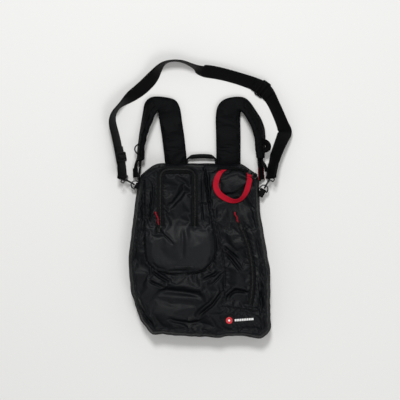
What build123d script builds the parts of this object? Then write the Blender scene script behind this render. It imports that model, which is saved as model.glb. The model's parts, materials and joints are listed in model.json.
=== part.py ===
"""Soft ice sports carry bag, lying on its back, with two padded shoulder straps and a clip-on sling strap.

Frame: millimetres. +X across the bag, +Y towards the haul handle, +Z up out of the front of the bag.
The origin is the middle of the back panel, on the surface that the bag lies on.
One STEP file per piece is written to parts/.
"""

from build123d import *

import os
from math import atan2, cos, degrees, hypot, radians, sin, tan

os.makedirs("parts", exist_ok=True)

# Bag body
BODY_OUTLINE = [
    (-108, 219), (-150, 198), (-161, 115), (-178, -20), (-173, -100), (-150, -172), (-122, -213),
    (-50, -217), (112, -215), (160, -227), (180, -206), (179, -50), (154, 90), (150, 188), (108, 219),
]
BODY_CORNER = 16
BACK_TOP = 6
FOAM_TOP = 14
FRONT_TOP = 58
SKIN = 3
WALL_TAPER = 8
FOAM_INSET = 14
PIPING_GAP, PIPING_WIDTH, PIPING_LOW, PIPING_HEIGHT = 0.1, 1.6, 1, 3.5
BOARD_SIZE, BOARD_AT, BOARD_GAP = (228, 2.5, 34), (-4, -196), 0.5
FAR = 1000  # longer than the whole bag, for solids that only cut or trim

# Zipped opening in the front: an arch, hinged along its lower edge
FLAP_LEFT, FLAP_RIGHT = -98, -10
FLAP_FOOT, FLAP_HEAD = 62, 205
FLAP_CORNER = 20
FLAP_GAP = 0.8
COIL_WIDTH, COIL_HEIGHT = 2.2, 1.4
COIL_CLEAR = 2

# Front pocket panel below the opening
POCKET_OUTLINE = [
    (-136, 46), (-136, -10), (-120, -42), (-90, -57), (-29, -60), (14, -46), (38, -20), (43, 8), (38, 46),
]
POCKET_CORNER = 18
POCKET_TOP = 66
POCKET_EDGE = 4

# Side pocket zipper: three points on its arc, and the strip that shields it
SIDE_ZIP_START, SIDE_ZIP_MIDDLE, SIDE_ZIP_END = (105, 60), (134, -45), (128, -135)
SHIELD_WIDTH, SHIELD_GAP, SHIELD_HEIGHT = 15, 6, 2.5

# Zipper sliders
SLIDER_LENGTH, SLIDER_WIDTH, SLIDER_HEIGHT = 12, 8, 2.6
SLIDER_LIFT, SLIDER_SIDE = 0.4, 3.4
PULL_PIN, PULL_ARM, PULL_LENGTH = 0.8, 1.4, 15
PULL_WIDTH, PULL_THICK, PULL_ARM_LENGTH = 5.4, 1.4, 7
PULL_GAP = 0.3
BRIDGE_LENGTH, BRIDGE_WIDTH, BRIDGE_HEIGHT, BRIDGE_POST, BRIDGE_ROOF = 8, 1.6, 3.8, 1.5, 1
PULL_CORD_LENGTH, PULL_CORD_RADIUS = 24, 1.7

# Shoulder straps
PAD_LOW, PAD_TOP, PAD_STANDING_TOP = 2, 17, 38
LEFT_STANDING_FROM, RIGHT_STANDING_FROM = -108, 116
LEFT_PAD = [
    (-36, 261), (-52, 347), (-49, 367), (-60, 387), (-128, 387), (-138, 347), (-148, 297), (-152, 240),
    (-143, 236), (-138, 258), (-133, 292), (-121, 317), (-104, 349), (-85, 227),
]
RIGHT_PAD = [
    (46, 277), (44, 352), (49, 370), (68, 386), (113, 388), (136, 362), (163, 318), (165, 268), (160, 240),
    (151, 236), (147, 258), (144, 287), (135, 312), (120, 332), (104, 346), (104, 228),
]
PAD_CORNER = 9
LEFT_ANCHOR = [(-82, 214), (-34, 214), (-34, 257.5), (-82, 224.5)]
RIGHT_ANCHOR = [(44, 214), (102, 214), (102, 223.5), (44, 273)]
WEB_TALL, WEB_THICK, WEB_LOW = 15, 1.8, 5
LOCK_LENGTH, LOCK_THICK, LOCK_TALL, LOCK_LOW = 22, 5, 18.4, 1
LOCK_SLOT, LOCK_BAR, LOCK_GAP = 5, 4, 0.2
TAIL_OFFSET = (5, 4)
LEFT_LOCK, LEFT_LOWER_END, LEFT_TAIL_END = (-150, 223), (-157, 179), (-167, 186)
RIGHT_LOCK, RIGHT_LOWER_END, RIGHT_TAIL_END = (156, 223), (160, 179), (169, 201)
LEFT_SEAM_POINT, RIGHT_SEAM_POINT = (-140, 172), (143, 174)
LOWER_ANCHOR_LENGTH, LOWER_ANCHOR_GAP, LOWER_ANCHOR_THICK = 12, 2.6, 3

# Haul handle
HANDLE_LEFT, HANDLE_RIGHT = -33, 43
HANDLE_BASE, HANDLE_NEAR, HANDLE_FAR = 222, 229, 242
HANDLE_LOW, HANDLE_TOP = 8, 13
HANDLE_LEG = 9
HANDLE_BULGE = 3

# Snap hooks and their D rings: place of the ring's bar, and the heading of the hook from it
HOOK_AXIS_HEIGHT = 22
LEFT_RING, LEFT_HEADING = (-159, 164), 151
RIGHT_RING, RIGHT_HEADING = (163, 152), 60
RING_WIRE, RING_REACH, RING_WIDTH, RING_DROP = 3.2, 17, 24, 3.4
HOOK_NOSE, HOOK_HEEL, HOOK_WALL, HOOK_HOLE, HOOK_THICK = 5, 28, 4, 12, 5
GATE_START, GATE_PIVOT, STEM_RADIUS = 12, 20, 2.5
EYE_START, EYE_END, EYE_WIDTH, EYE_BAR, EYE_ROLL = 30, 40, 45, 2.8, 60
TAB_WIDTH, TAB_THICK, TAB_START, TAB_LENGTH = 15, 4, 3, 14
SLEEVE_RADIUS, SLEEVE_BORE = 4, 2.6

# Sling strap: points of its centre line with the webbing's roll in degrees, 0 when it lies flat
SLING_WIDTH, SLING_THICK = 38, 2
SLING_ROUTE = [
    (-203, 203, 62), (-208, 226, 62), (-208.5, 254, 60), (-213, 290, 60), (-222, 325, 62), (-219, 349, 74),
    (-204, 370, 80), (-177, 394, 45), (-149, 416, 33), (-122, 440, 36), (-101, 467, 68), (-84, 479, 85),
    (-63, 483, 88), (-40, 479, 80), (-16, 469, 50), (6, 461, 20), (34, 456, 8), (68, 449, 5),
    (106, 438, 5), (142, 426, 5), (166, 412, 7), (183, 392, 10), (197, 363, 10), (211, 332, 20),
    (219, 302, 42), (211, 269, 15), (197, 238, 22), (186, 213, 46),
]
SLING_STATIONS = 90
GLIDE_LENGTH, GLIDE_WIDTH, GLIDE_THICK, GLIDE_BAR = 24, 46, 4, 4
LEFT_GLIDE_AT, RIGHT_GLIDE_AT = 0.062, 0.715
GLIDE_LIFT = 1.6

# Red webbing loop on the front, and the small hook that holds it
LOOP_ROUTE = [
    (74, 211), (58, 205), (47, 187), (41, 161), (50, 142), (67, 130), (90, 122),
    (107, 130), (120, 147), (126, 168), (129, 188), (121, 207),
]
LOOP_WIDTH, LOOP_THICK = 15, 2
LOOP_LIFT = 0.2
CLIP_AT, CLIP_HEADING = (137, 193), -34
CLIP_LENGTH, CLIP_WIDTH, CLIP_THICK, CLIP_CORNER = 16, 9, 4, 3
CLIP_EYE, CLIP_EYE_SIZE, CLIP_EYE_CORNER = 3, (7, 5), 2

BADGE_DISC, BADGE_DISC_RADIUS = (75, -179), 8.5
BADGE_BAR = (113, -177, 48, 8)


def save(node, shape):
    export_step(shape, f"parts/{node}.step")


def corner_radii(points, cap, closed):
    """Fillet radius at each corner: at most cap, and no more than its two runs allow."""
    count = len(points)
    corners = range(count) if closed else range(1, count - 1)
    radii = []
    for i in corners:
        before = Vector(*points[i]) - Vector(*points[i - 1])
        after = Vector(*points[(i + 1) % count]) - Vector(*points[i])
        turn = radians(before.get_angle(after))
        room = 0.45 * min(before.length, after.length) / tan(turn / 2)
        radii.append(min(cap, room))
    return radii


def outline(points, corner):
    return make_face(FilletPolyline(*points, radius=corner_radii(points, corner, True), close=True))


def slab(points, corner, low, top):
    return Pos(0, 0, low) * extrude(outline(points, corner), top - low)


def strip(path, width, low, height):
    return Pos(0, 0, low) * extrude(trace(path, width), height)


def point_on(spot, x, y, z):
    """A point given in the frame of spot."""
    return (spot * Pos(x, y, z)).position


def circle_through(a, b, c):
    """Centre and radius of the circle through three points."""
    ax, ay, bx, by, cx, cy = *a, *b, *c
    d = 2 * (ax * (by - cy) + bx * (cy - ay) + cx * (ay - by))
    ux = ((ax**2 + ay**2) * (by - cy) + (bx**2 + by**2) * (cy - ay) + (cx**2 + cy**2) * (ay - by)) / d
    uy = ((ax**2 + ay**2) * (cx - bx) + (bx**2 + by**2) * (ax - cx) + (cx**2 + cy**2) * (bx - ax)) / d
    return (ux, uy), hypot(ax - ux, ay - uy)


# ---------------------------------------------------------------- body

def arch(inset):
    """Open path of the zipper round the flap, inset from the middle of its gap."""
    left, right, head = FLAP_LEFT + inset, FLAP_RIGHT - inset, FLAP_HEAD - inset
    corner = FLAP_CORNER - inset
    return FilletPolyline((left, FLAP_FOOT), (left, head), (right, head), (right, FLAP_FOOT), radius=corner)


def flap_face(inset):
    left, right = FLAP_LEFT + inset, FLAP_RIGHT - inset
    foot, head = FLAP_FOOT + inset, FLAP_HEAD - inset
    points = [(left, foot), (left, head), (right, head), (right, foot)]
    corner = FLAP_CORNER - inset
    return make_face(FilletPolyline(*points, radius=[1, corner, corner, 1], close=True))


def make_body():
    base = outline(BODY_OUTLINE, BODY_CORNER)
    inner = offset(base, -SKIN)
    height = FRONT_TOP - BACK_TOP
    shell = extrude(base, height, taper=WALL_TAPER)
    hollow = extrude(inner, height - SKIN, taper=WALL_TAPER)
    shell = Pos(0, 0, BACK_TOP) * (shell - hollow)
    window = Pos(0, 0, FRONT_TOP - 2 * SKIN) * extrude(flap_face(-FLAP_GAP / 2), 3 * SKIN)
    save("main_shell", shell - window)
    save("back_panel", extrude(base, BACK_TOP))
    save("back_foam", Pos(0, 0, BACK_TOP) * extrude(offset(base, -FOAM_INSET), FOAM_TOP - BACK_TOP))
    piping = offset(base, PIPING_GAP + PIPING_WIDTH) - offset(base, PIPING_GAP)
    save("edge_piping", Pos(0, 0, PIPING_LOW) * extrude(piping, PIPING_HEIGHT))
    board = Box(*BOARD_SIZE, align=(Align.CENTER, Align.CENTER, Align.MIN))
    save("base_board", Pos(*BOARD_AT, FOAM_TOP + BOARD_GAP) * board)


def make_flap():
    save("front_flap", Pos(0, 0, FRONT_TOP - SKIN) * extrude(flap_face(FLAP_GAP / 2), SKIN))
    inset = FLAP_GAP / 2 + COIL_WIDTH / 2
    inner = strip(arch(inset), COIL_WIDTH, FRONT_TOP, COIL_HEIGHT)
    above_hinge = Pos(0, FLAP_FOOT + COIL_CLEAR, 0) * Box(FAR, FAR, FAR, align=(
        Align.CENTER, Align.MIN, Align.CENTER))
    save("flap_zip_coil", inner & above_hinge)
    save("shell_zip_coil", strip(arch(-inset), COIL_WIDTH, FRONT_TOP, COIL_HEIGHT))


def make_pocket():
    panel = slab(POCKET_OUTLINE, POCKET_CORNER, FRONT_TOP, POCKET_TOP)
    save("front_pocket", chamfer(panel.faces().sort_by(Axis.Z)[-1].edges(), POCKET_EDGE))


def make_side_zip():
    (cx, cy), radius = circle_through(SIDE_ZIP_START, SIDE_ZIP_MIDDLE, SIDE_ZIP_END)
    start = degrees(atan2(SIDE_ZIP_START[1] - cy, SIDE_ZIP_START[0] - cx))
    end = degrees(atan2(SIDE_ZIP_END[1] - cy, SIDE_ZIP_END[0] - cx))
    print(f"side zip: centre {cx:.2f}, {cy:.2f}, radius {radius:.2f}")
    print(f"side zip: from {start:.2f} to {end:.2f} degrees")
    coil = CenterArc((cx, cy), radius, end - 1, start - end + 4)
    save("side_zip_coil", strip(coil, 2 * COIL_WIDTH, FRONT_TOP, COIL_HEIGHT))
    shield = CenterArc((cx, cy), radius + SHIELD_GAP + SHIELD_WIDTH / 2, end - 2, start - end + 3)
    save("zip_shield", strip(shield, SHIELD_WIDTH, FRONT_TOP, SHIELD_HEIGHT))
    return start + 90


# ---------------------------------------------------------------- zipper sliders

SLIDER_LOW = FRONT_TOP + COIL_HEIGHT + SLIDER_LIFT
SLIDER_TOP = SLIDER_LOW + SLIDER_HEIGHT
PIN_HEIGHT = SLIDER_TOP + 1.6


def slider():
    """Slider body along +X with a bridge over the pull's pin, on the coil at the origin."""
    face = RectangleRounded(SLIDER_LENGTH, SLIDER_WIDTH, 2.5)
    body = Pos(0, 0, SLIDER_LOW) * extrude(face, SLIDER_HEIGHT)
    bridge = Box(BRIDGE_LENGTH, BRIDGE_WIDTH, BRIDGE_HEIGHT)
    window = Pos(0, 0, -BRIDGE_ROOF) * Box(BRIDGE_LENGTH - 2 * BRIDGE_POST, FAR, BRIDGE_HEIGHT)
    return body + Pos(1, 0, SLIDER_TOP + BRIDGE_HEIGHT / 2) * (bridge - window)


def pull():
    """Pull tab with its pin through the bridge, lying flat along +X."""
    pin = Pos(1, 0, PIN_HEIGHT) * Rot(90, 0, 0) * Cylinder(PULL_PIN, PULL_WIDTH)
    arm = Box(PULL_ARM_LENGTH, PULL_ARM, PULL_THICK, align=(Align.MIN, Align.CENTER, Align.CENTER))
    arms = [Pos(PULL_GAP, side * (PULL_WIDTH - PULL_ARM) / 2, PIN_HEIGHT) * arm for side in (-1, 1)]
    tab_length = PULL_LENGTH - PULL_ARM_LENGTH
    tab = Box(tab_length, PULL_WIDTH, PULL_THICK, align=(Align.MIN, Align.CENTER, Align.CENTER))
    return pin + arms[0] + arms[1] + Pos(PULL_ARM_LENGTH, 0, PIN_HEIGHT) * tab


def pull_cord():
    """Thick cord pull fixed to the end of the tab."""
    rod = Cylinder(PULL_CORD_RADIUS, PULL_CORD_LENGTH, align=(Align.CENTER, Align.CENTER, Align.MIN))
    return Pos(PULL_LENGTH + PULL_GAP, 0, PIN_HEIGHT) * Rot(0, 90, 0) * rod


def make_slider(name, place, heading):
    spot = Pos(place[0], place[1], 0) * Rot(0, 0, heading)
    save(f"{name}_zip_slider", spot * slider())
    save(f"{name}_zip_pull", spot * pull())
    save(f"{name}_pull_cord", spot * pull_cord())
    pin = point_on(spot, 1, 0, PIN_HEIGHT)
    print(f"{name} pull pin: {pin.X:.2f}, {pin.Y:.2f}, {pin.Z:.2f}, heading {heading:.2f}")


# ---------------------------------------------------------------- shoulder straps and handle

def standing_web(start, end, low):
    """Webbing on its edge between two points."""
    run = Line(start, end)
    return strip(run, WEB_THICK, low, WEB_TALL)


def make_lock(name, place, heading):
    """Ladder lock on its edge: a frame with three bars."""
    frame = Box(LOCK_LENGTH, LOCK_THICK, LOCK_TALL)
    slot = Box(LOCK_SLOT, FAR, LOCK_TALL - LOCK_SLOT)
    slot_at = (LOCK_SLOT + LOCK_BAR) / 2
    frame = frame - Pos(-slot_at, 0, 0) * slot - Pos(slot_at, 0, 0) * slot
    middle = (place[0], place[1], LOCK_LOW + LOCK_TALL / 2)
    save(f"{name}_ladder_lock", Pos(*middle) * Rot(0, 0, heading) * frame)


def make_pad(side, pad, standing_from):
    """Padded strap: its inner leg lies flat, and its outer leg, past standing_from, stands on its side."""
    outward = Align.MAX if side == "left" else Align.MIN
    beyond = Pos(standing_from, 0, 0) * Box(FAR, FAR, FAR, align=(outward, Align.CENTER, Align.CENTER))
    standing = slab(pad, PAD_CORNER, PAD_LOW, PAD_STANDING_TOP) & beyond
    save(f"{side}_strap_pad", slab(pad, PAD_CORNER, PAD_LOW, PAD_TOP) + standing)


def make_strap(side, anchor, lock, lower_end, tail_end):
    base = Pos(0, 0, BACK_TOP) * extrude(make_face(Polyline(*anchor, close=True)), PAD_TOP - BACK_TOP - 2)
    below = extrude(outline(BODY_OUTLINE, BODY_CORNER), FAR)
    save(f"{side}_strap_anchor", base - below)
    heading = degrees(atan2(lock[1] - lower_end[1], lock[0] - lower_end[0]))
    make_lock(side, lock, heading)
    foot = Vector(*lock) + Vector(-LOCK_LENGTH / 2 - LOCK_GAP, 0).rotate(Axis.Z, heading)
    foot_point = (foot.X, foot.Y)
    save(f"{side}_lower_webbing", standing_web(foot_point, lower_end, WEB_LOW))
    outward = -1 if side == "left" else 1
    tail_start = (foot.X + outward * TAIL_OFFSET[0], foot.Y + TAIL_OFFSET[1])
    save(f"{side}_webbing_tail", standing_web(tail_start, tail_end, WEB_LOW))


def make_lower_anchor(side, end, towards):
    """Webbing tab sewn into the side seam, where the lower webbing ends."""
    run = Vector(*towards) - Vector(*end)
    run = run.normalized()
    near = Vector(*end) + run * LOWER_ANCHOR_GAP
    far = near + run * LOWER_ANCHOR_LENGTH
    tab = strip(Line((near.X, near.Y), (far.X, far.Y)), LOWER_ANCHOR_THICK, WEB_LOW, WEB_TALL)
    body = extrude(outline(BODY_OUTLINE, BODY_CORNER), FAR)
    save(f"{side}_lower_anchor", tab - body)


def make_handle():
    middle = (HANDLE_LEFT + HANDLE_RIGHT) / 2
    grip_y = (HANDLE_NEAR + HANDLE_FAR) / 2
    width = HANDLE_FAR - HANDLE_NEAR
    left, right = HANDLE_LEFT + HANDLE_LEG / 2, HANDLE_RIGHT - HANDLE_LEG / 2
    grip = ThreePointArc((left, grip_y - HANDLE_BULGE / 2), (middle, grip_y + HANDLE_BULGE / 2),
                         (right, grip_y - HANDLE_BULGE / 2))
    band = strip(grip, width - HANDLE_BULGE, HANDLE_LOW, HANDLE_TOP - HANDLE_LOW)
    for x in (left, right):
        leg = Box(HANDLE_LEG, grip_y - HANDLE_BASE + 4, HANDLE_TOP - HANDLE_LOW,
                  align=(Align.CENTER, Align.MIN, Align.MIN))
        band += Pos(x, HANDLE_BASE, HANDLE_LOW) * leg
    save("haul_handle", band)
    body = extrude(outline(BODY_OUTLINE, BODY_CORNER), FAR)
    tab = Box(HANDLE_LEG + 1, 6, HANDLE_TOP - HANDLE_LOW + 2, align=(Align.CENTER, Align.MAX, Align.MIN))
    tabs = [Pos(x, HANDLE_BASE - 0.6, HANDLE_LOW - 1) * tab - body for x in (left, right)]
    save("handle_anchors", Compound(tabs))


# ---------------------------------------------------------------- rings, hooks and sling strap

def make_hook(side, ring, heading):
    """D ring, its tab, the snap hook with its gate, and the swivel eye, in the frame of the ring's bar."""
    spot = Pos(ring[0], ring[1], HOOK_AXIS_HEIGHT) * Rot(0, 0, heading)
    bar = RING_WIRE / 2
    loop = Pos(RING_REACH / 2 - bar, 0) * (
        RectangleRounded(RING_REACH, RING_WIDTH, 5) - RectangleRounded(RING_REACH - 2 * RING_WIRE,
                                                                       RING_WIDTH - 2 * RING_WIRE, 2))
    ring_low = -RING_DROP - bar
    save(f"{side}_d_ring", spot * Pos(0, 0, ring_low) * extrude(loop, RING_WIRE))
    bore = Cylinder(SLEEVE_BORE, 2 * TAB_WIDTH)
    tongue = Box(TAB_LENGTH, TAB_WIDTH, TAB_THICK, align=(Align.MAX, Align.CENTER, Align.CENTER))
    tongue = Rot(-90, 0, 0) * Pos(-TAB_START, 0, 0) * tongue
    tab = Rot(90, 0, 0) * (Cylinder(SLEEVE_RADIUS, TAB_WIDTH) + tongue - bore)
    body = extrude(outline(BODY_OUTLINE, BODY_CORNER), FAR)
    save(f"{side}_ring_tab", spot * Pos(0, 0, -RING_DROP) * tab - body)

    tall = HOOK_HOLE + 2 * HOOK_WALL
    length = HOOK_HEEL - HOOK_NOSE
    eye = RectangleRounded(length, tall, 8) - RectangleRounded(length - 2 * HOOK_WALL, HOOK_HOLE, 5)
    frame = Pos((HOOK_NOSE + HOOK_HEEL) / 2, 0, 0) * Rot(90, 0, 0) * Pos(0, 0, -HOOK_THICK / 2) * extrude(
        eye, HOOK_THICK)
    gate_height = HOOK_HOLE / 2 + HOOK_WALL / 2
    gap_end = GATE_PIVOT + HOOK_WALL / 2 + 0.4
    gap = Pos(GATE_START, 0, gate_height) * Box(gap_end - GATE_START, 20, HOOK_WALL + 1,
                                                align=(Align.MIN, Align.CENTER, Align.CENTER))
    stem_length = EYE_START - HOOK_HEEL + 0.3
    stem = Cylinder(STEM_RADIUS, stem_length, align=(Align.CENTER, Align.CENTER, Align.MIN))
    stem = Pos(HOOK_HEEL - 0.5, 0, 0) * Rot(0, 90, 0) * stem
    save(f"{side}_snap_hook", spot * (frame - gap + stem))
    gate = SlotCenterToCenter(GATE_PIVOT - GATE_START - HOOK_WALL / 2 - 0.4, HOOK_WALL - 0.4)
    gate_middle = (GATE_PIVOT + GATE_START + HOOK_WALL / 2 + 0.4) / 2
    gate_place = Pos(gate_middle, 0, gate_height) * Rot(90, 0, 0) * Pos(0, 0, -HOOK_THICK / 2 + 0.3)
    save(f"{side}_hook_gate", spot * gate_place * extrude(gate, HOOK_THICK - 0.6))

    slot = RectangleRounded(EYE_END - EYE_START, EYE_WIDTH, 3) - Rectangle(
        EYE_END - EYE_START - 2 * EYE_BAR, EYE_WIDTH - 2 * EYE_BAR)
    roll = EYE_ROLL if side == "left" else -EYE_ROLL
    swivel = Rot(roll, 0, 0) * Pos((EYE_START + EYE_END) / 2, 0, -2) * extrude(slot, 4)
    save(f"{side}_swivel_eye", spot * swivel)
    far_bar = point_on(spot, EYE_END + 1.2, 0, 0)
    pivot = point_on(spot, GATE_PIVOT, 0, gate_height)
    bar_at = point_on(spot, 0, 0, -RING_DROP)
    print(f"{side} gate pivot {pivot.X:.2f}, {pivot.Y:.2f}, {pivot.Z:.2f}; ring bar {bar_at.X:.2f}, "
          f"{bar_at.Y:.2f}, {bar_at.Z:.2f}; webbing from {far_bar.X:.2f}, {far_bar.Y:.2f}, {far_bar.Z:.2f}")
    return (far_bar.X, far_bar.Y)


def lying_height(roll):
    """Height of the webbing's centre line when its lower edge rests on the surface."""
    return SLING_WIDTH / 2 * abs(sin(radians(roll))) + SLING_THICK / 2 * cos(radians(roll)) + 0.4


def make_sling(start, end):
    """Webbing as a ribbon that turns about its centre line, and a tri-glide on it near each end."""
    route = [(*start, EYE_ROLL), *SLING_ROUTE, (*end, EYE_ROLL)]
    points = [(x, y, lying_height(roll)) for x, y, roll in route]
    points[0] = (*start, HOOK_AXIS_HEIGHT)
    points[-1] = (*end, HOOK_AXIS_HEIGHT)
    radii = corner_radii(points, 400, False)
    print("sling radii:", [round(r) for r in radii])
    path = Wire(FilletPolyline(*points, radius=radii).edges())
    runs = [0.0]
    for a, b in zip(points, points[1:]):
        runs.append(runs[-1] + (Vector(*b) - Vector(*a)).length)
    marks = [run / runs[-1] for run in runs]

    def roll_at(u):
        for i in range(len(marks) - 1):
            if u <= marks[i + 1]:
                share = (u - marks[i]) / (marks[i + 1] - marks[i])
                share = share * share * (3 - 2 * share)
                return route[i][2] + share * (route[i + 1][2] - route[i][2])
        return route[-1][2]

    def place(u):
        along = path.tangent_at(u)
        side = Vector(0, 0, 1).cross(along).normalized()
        side = side.rotate(Axis((0, 0, 0), along), roll_at(u))
        return Plane(origin=path.position_at(u), x_dir=side, z_dir=along)

    stations = [i / SLING_STATIONS for i in range(SLING_STATIONS + 1)]
    sections = [place(u) * Rectangle(SLING_WIDTH, SLING_THICK) for u in stations]
    webbing = loft([section.face() for section in sections], ruled=True)
    save("sling_webbing", webbing)
    filled = webbing.volume / SLING_WIDTH / SLING_THICK
    print(f"sling length {path.length:.1f}, volume over section {filled:.1f}")
    for side, u in (("left", LEFT_GLIDE_AT), ("right", RIGHT_GLIDE_AT)):
        spot = place(u)
        glide = RectangleRounded(GLIDE_WIDTH, GLIDE_LENGTH, 3)
        slot = Rectangle(GLIDE_WIDTH - 2 * GLIDE_BAR, (GLIDE_LENGTH - 3 * GLIDE_BAR) / 2)
        shift = (GLIDE_LENGTH - GLIDE_BAR) / 4
        glide = glide - Pos(0, shift) * slot - Pos(0, -shift) * slot
        lying = Plane(origin=spot.origin, x_dir=spot.x_dir, z_dir=spot.x_dir.cross(spot.z_dir) * -1)
        up = lying.z_dir if lying.z_dir.Z > 0 else lying.z_dir * -1
        lying = Plane(origin=spot.origin + up * (SLING_THICK / 2 + GLIDE_LIFT), x_dir=spot.x_dir, z_dir=up)
        save(f"{side}_tri_glide", lying * extrude(glide, GLIDE_THICK))
        print(f"{side} glide at {spot.origin}, along {spot.z_dir}")


def make_red_loop():
    path = FilletPolyline(*LOOP_ROUTE, radius=corner_radii(LOOP_ROUTE, 200, False))
    save("red_loop", strip(path, LOOP_WIDTH, FRONT_TOP + LOOP_LIFT, LOOP_THICK))
    eye = Pos(CLIP_EYE, 0) * RectangleRounded(*CLIP_EYE_SIZE, CLIP_EYE_CORNER)
    plate = RectangleRounded(CLIP_LENGTH, CLIP_WIDTH, CLIP_CORNER) - eye
    clip_place = Pos(*CLIP_AT, FRONT_TOP + 2 * LOOP_LIFT + LOOP_THICK) * Rot(0, 0, CLIP_HEADING)
    save("red_loop_clip", clip_place * extrude(plate, CLIP_THICK))


def make_badge():
    x, y, length, height = BADGE_BAR
    save("badge_disc", Pos(*BADGE_DISC, FRONT_TOP) * Cylinder(BADGE_DISC_RADIUS, 1.2, align=(
        Align.CENTER, Align.CENTER, Align.MIN)))
    save("badge_bar", Pos(x, y, FRONT_TOP) * Rot(0, 0, 4) * Box(length, height, 1, align=(
        Align.CENTER, Align.CENTER, Align.MIN)))


def main():
    make_body()
    make_flap()
    make_pocket()
    side_heading = make_side_zip()
    make_slider("front", (FLAP_LEFT - SLIDER_SIDE, FLAP_FOOT - SLIDER_LENGTH / 2 - SLIDER_SIDE), 90)
    make_slider("side", SIDE_ZIP_START, side_heading)
    make_pad("left", LEFT_PAD, LEFT_STANDING_FROM)
    make_pad("right", RIGHT_PAD, RIGHT_STANDING_FROM)
    make_strap("left", LEFT_ANCHOR, LEFT_LOCK, LEFT_LOWER_END, LEFT_TAIL_END)
    make_strap("right", RIGHT_ANCHOR, RIGHT_LOCK, RIGHT_LOWER_END, RIGHT_TAIL_END)
    make_lower_anchor("left", LEFT_LOWER_END, LEFT_SEAM_POINT)
    make_lower_anchor("right", RIGHT_LOWER_END, RIGHT_SEAM_POINT)
    make_handle()
    left_end = make_hook("left", LEFT_RING, LEFT_HEADING)
    right_end = make_hook("right", RIGHT_RING, RIGHT_HEADING)
    make_sling(left_end, right_end)
    make_red_loop()
    make_badge()


main()
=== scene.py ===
"""Soft carry bag lying on its back: the looks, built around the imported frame. Metres, in the row frame."""

import json
from math import atan2, cos, degrees, pi, radians, sin

import bpy
import numpy as np
from mathutils import Matrix, Vector, noise
from mathutils.bvhtree import BVHTree


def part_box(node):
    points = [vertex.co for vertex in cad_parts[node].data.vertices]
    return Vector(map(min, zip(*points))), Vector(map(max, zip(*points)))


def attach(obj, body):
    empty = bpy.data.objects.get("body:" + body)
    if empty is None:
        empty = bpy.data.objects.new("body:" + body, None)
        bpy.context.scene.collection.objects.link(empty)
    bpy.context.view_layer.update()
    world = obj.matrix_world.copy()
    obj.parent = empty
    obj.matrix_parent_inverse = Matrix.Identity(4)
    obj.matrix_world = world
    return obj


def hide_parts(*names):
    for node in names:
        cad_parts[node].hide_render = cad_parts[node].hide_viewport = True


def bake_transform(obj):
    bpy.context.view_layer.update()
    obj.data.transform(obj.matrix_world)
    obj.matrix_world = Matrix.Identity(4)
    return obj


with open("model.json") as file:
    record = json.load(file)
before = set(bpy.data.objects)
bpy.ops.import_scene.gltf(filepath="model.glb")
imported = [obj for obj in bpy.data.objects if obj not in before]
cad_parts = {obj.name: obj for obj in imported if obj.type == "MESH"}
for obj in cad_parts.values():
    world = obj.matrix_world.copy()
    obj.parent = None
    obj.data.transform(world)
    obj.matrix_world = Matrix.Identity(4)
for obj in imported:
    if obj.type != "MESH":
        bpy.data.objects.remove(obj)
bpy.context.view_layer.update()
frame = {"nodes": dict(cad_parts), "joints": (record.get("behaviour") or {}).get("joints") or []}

JOINTS = {joint["name"]: joint for joint in frame["joints"]}
MM = 0.001


def link(obj):
    bpy.context.scene.collection.objects.link(obj)
    return obj


# ------------------------------------------------------------------ view and light

VIEW_WIDTH = 1.02
VIEW_CENTRE = (0.0025, 0.1275)
CAMERA_HEIGHT = 5.0
SENSOR = 36
SKY_COLOUR, SKY_STRENGTH = (1.0, 0.995, 0.98, 1), 0.42
FLOOR_REACH = 4

# Name, place, aim, size and power
LIGHTS = [
    ("key", (-0.3, 2.2, 3.4), (0.05, 0, 0), 1.0, 92),
    ("fill", (1.6, -1.8, 3.6), (0, 0, 0), 2.0, 38),
]


def make_camera():
    data = bpy.data.cameras.new("camera")
    data.sensor_width = SENSOR
    data.lens = SENSOR * CAMERA_HEIGHT / VIEW_WIDTH
    data.clip_end = 30
    camera = link(bpy.data.objects.new("camera", data))
    camera.location = (*VIEW_CENTRE, CAMERA_HEIGHT)
    bpy.context.scene.camera = camera


def make_light(name, place, target, size, power):
    data = bpy.data.lights.new(name, "AREA")
    data.shape = "DISK"
    data.size = size
    data.energy = power
    light = link(bpy.data.objects.new(name, data))
    light.location = place
    aim = Vector(target) - Vector(place)
    light.rotation_euler = aim.to_track_quat("-Z", "Y").to_euler()


def make_stage():
    bpy.context.scene.view_settings.view_transform = "Standard"
    world = bpy.data.worlds.new("studio")
    world.use_nodes = True
    background = world.node_tree.nodes["Background"]
    background.inputs["Color"].default_value = SKY_COLOUR
    background.inputs["Strength"].default_value = SKY_STRENGTH
    bpy.context.scene.world = world
    for light in LIGHTS:
        make_light(*light)
    ends = (-FLOOR_REACH, FLOOR_REACH)
    floor = grid_mesh("floor", np.array([[(x, y, 0.0) for y in ends] for x in ends]), floor_material())


# ------------------------------------------------------------------ mesh helpers

def finish_mesh(name, vertices, faces, material):
    mesh = bpy.data.meshes.new(name)
    mesh.from_pydata([tuple(v) for v in vertices], [], [tuple(f) for f in faces])
    mesh.validate()
    mesh.update()
    mesh.polygons.foreach_set("use_smooth", [True] * len(mesh.polygons))
    mesh.materials.append(material)
    return link(bpy.data.objects.new(name, mesh))


def grid_faces(count_u, count_v, wrap_u=False, wrap_v=False, start=0):
    """Quads of a grid of points numbered row by row, closed round in u or v where asked."""
    faces = []
    for i in range(count_u if wrap_u else count_u - 1):
        row, next_row = start + i * count_v, start + (i + 1) % count_u * count_v
        for j in range(count_v if wrap_v else count_v - 1):
            k = (j + 1) % count_v
            faces.append((row + j, next_row + j, next_row + k, row + k))
    return faces


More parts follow.
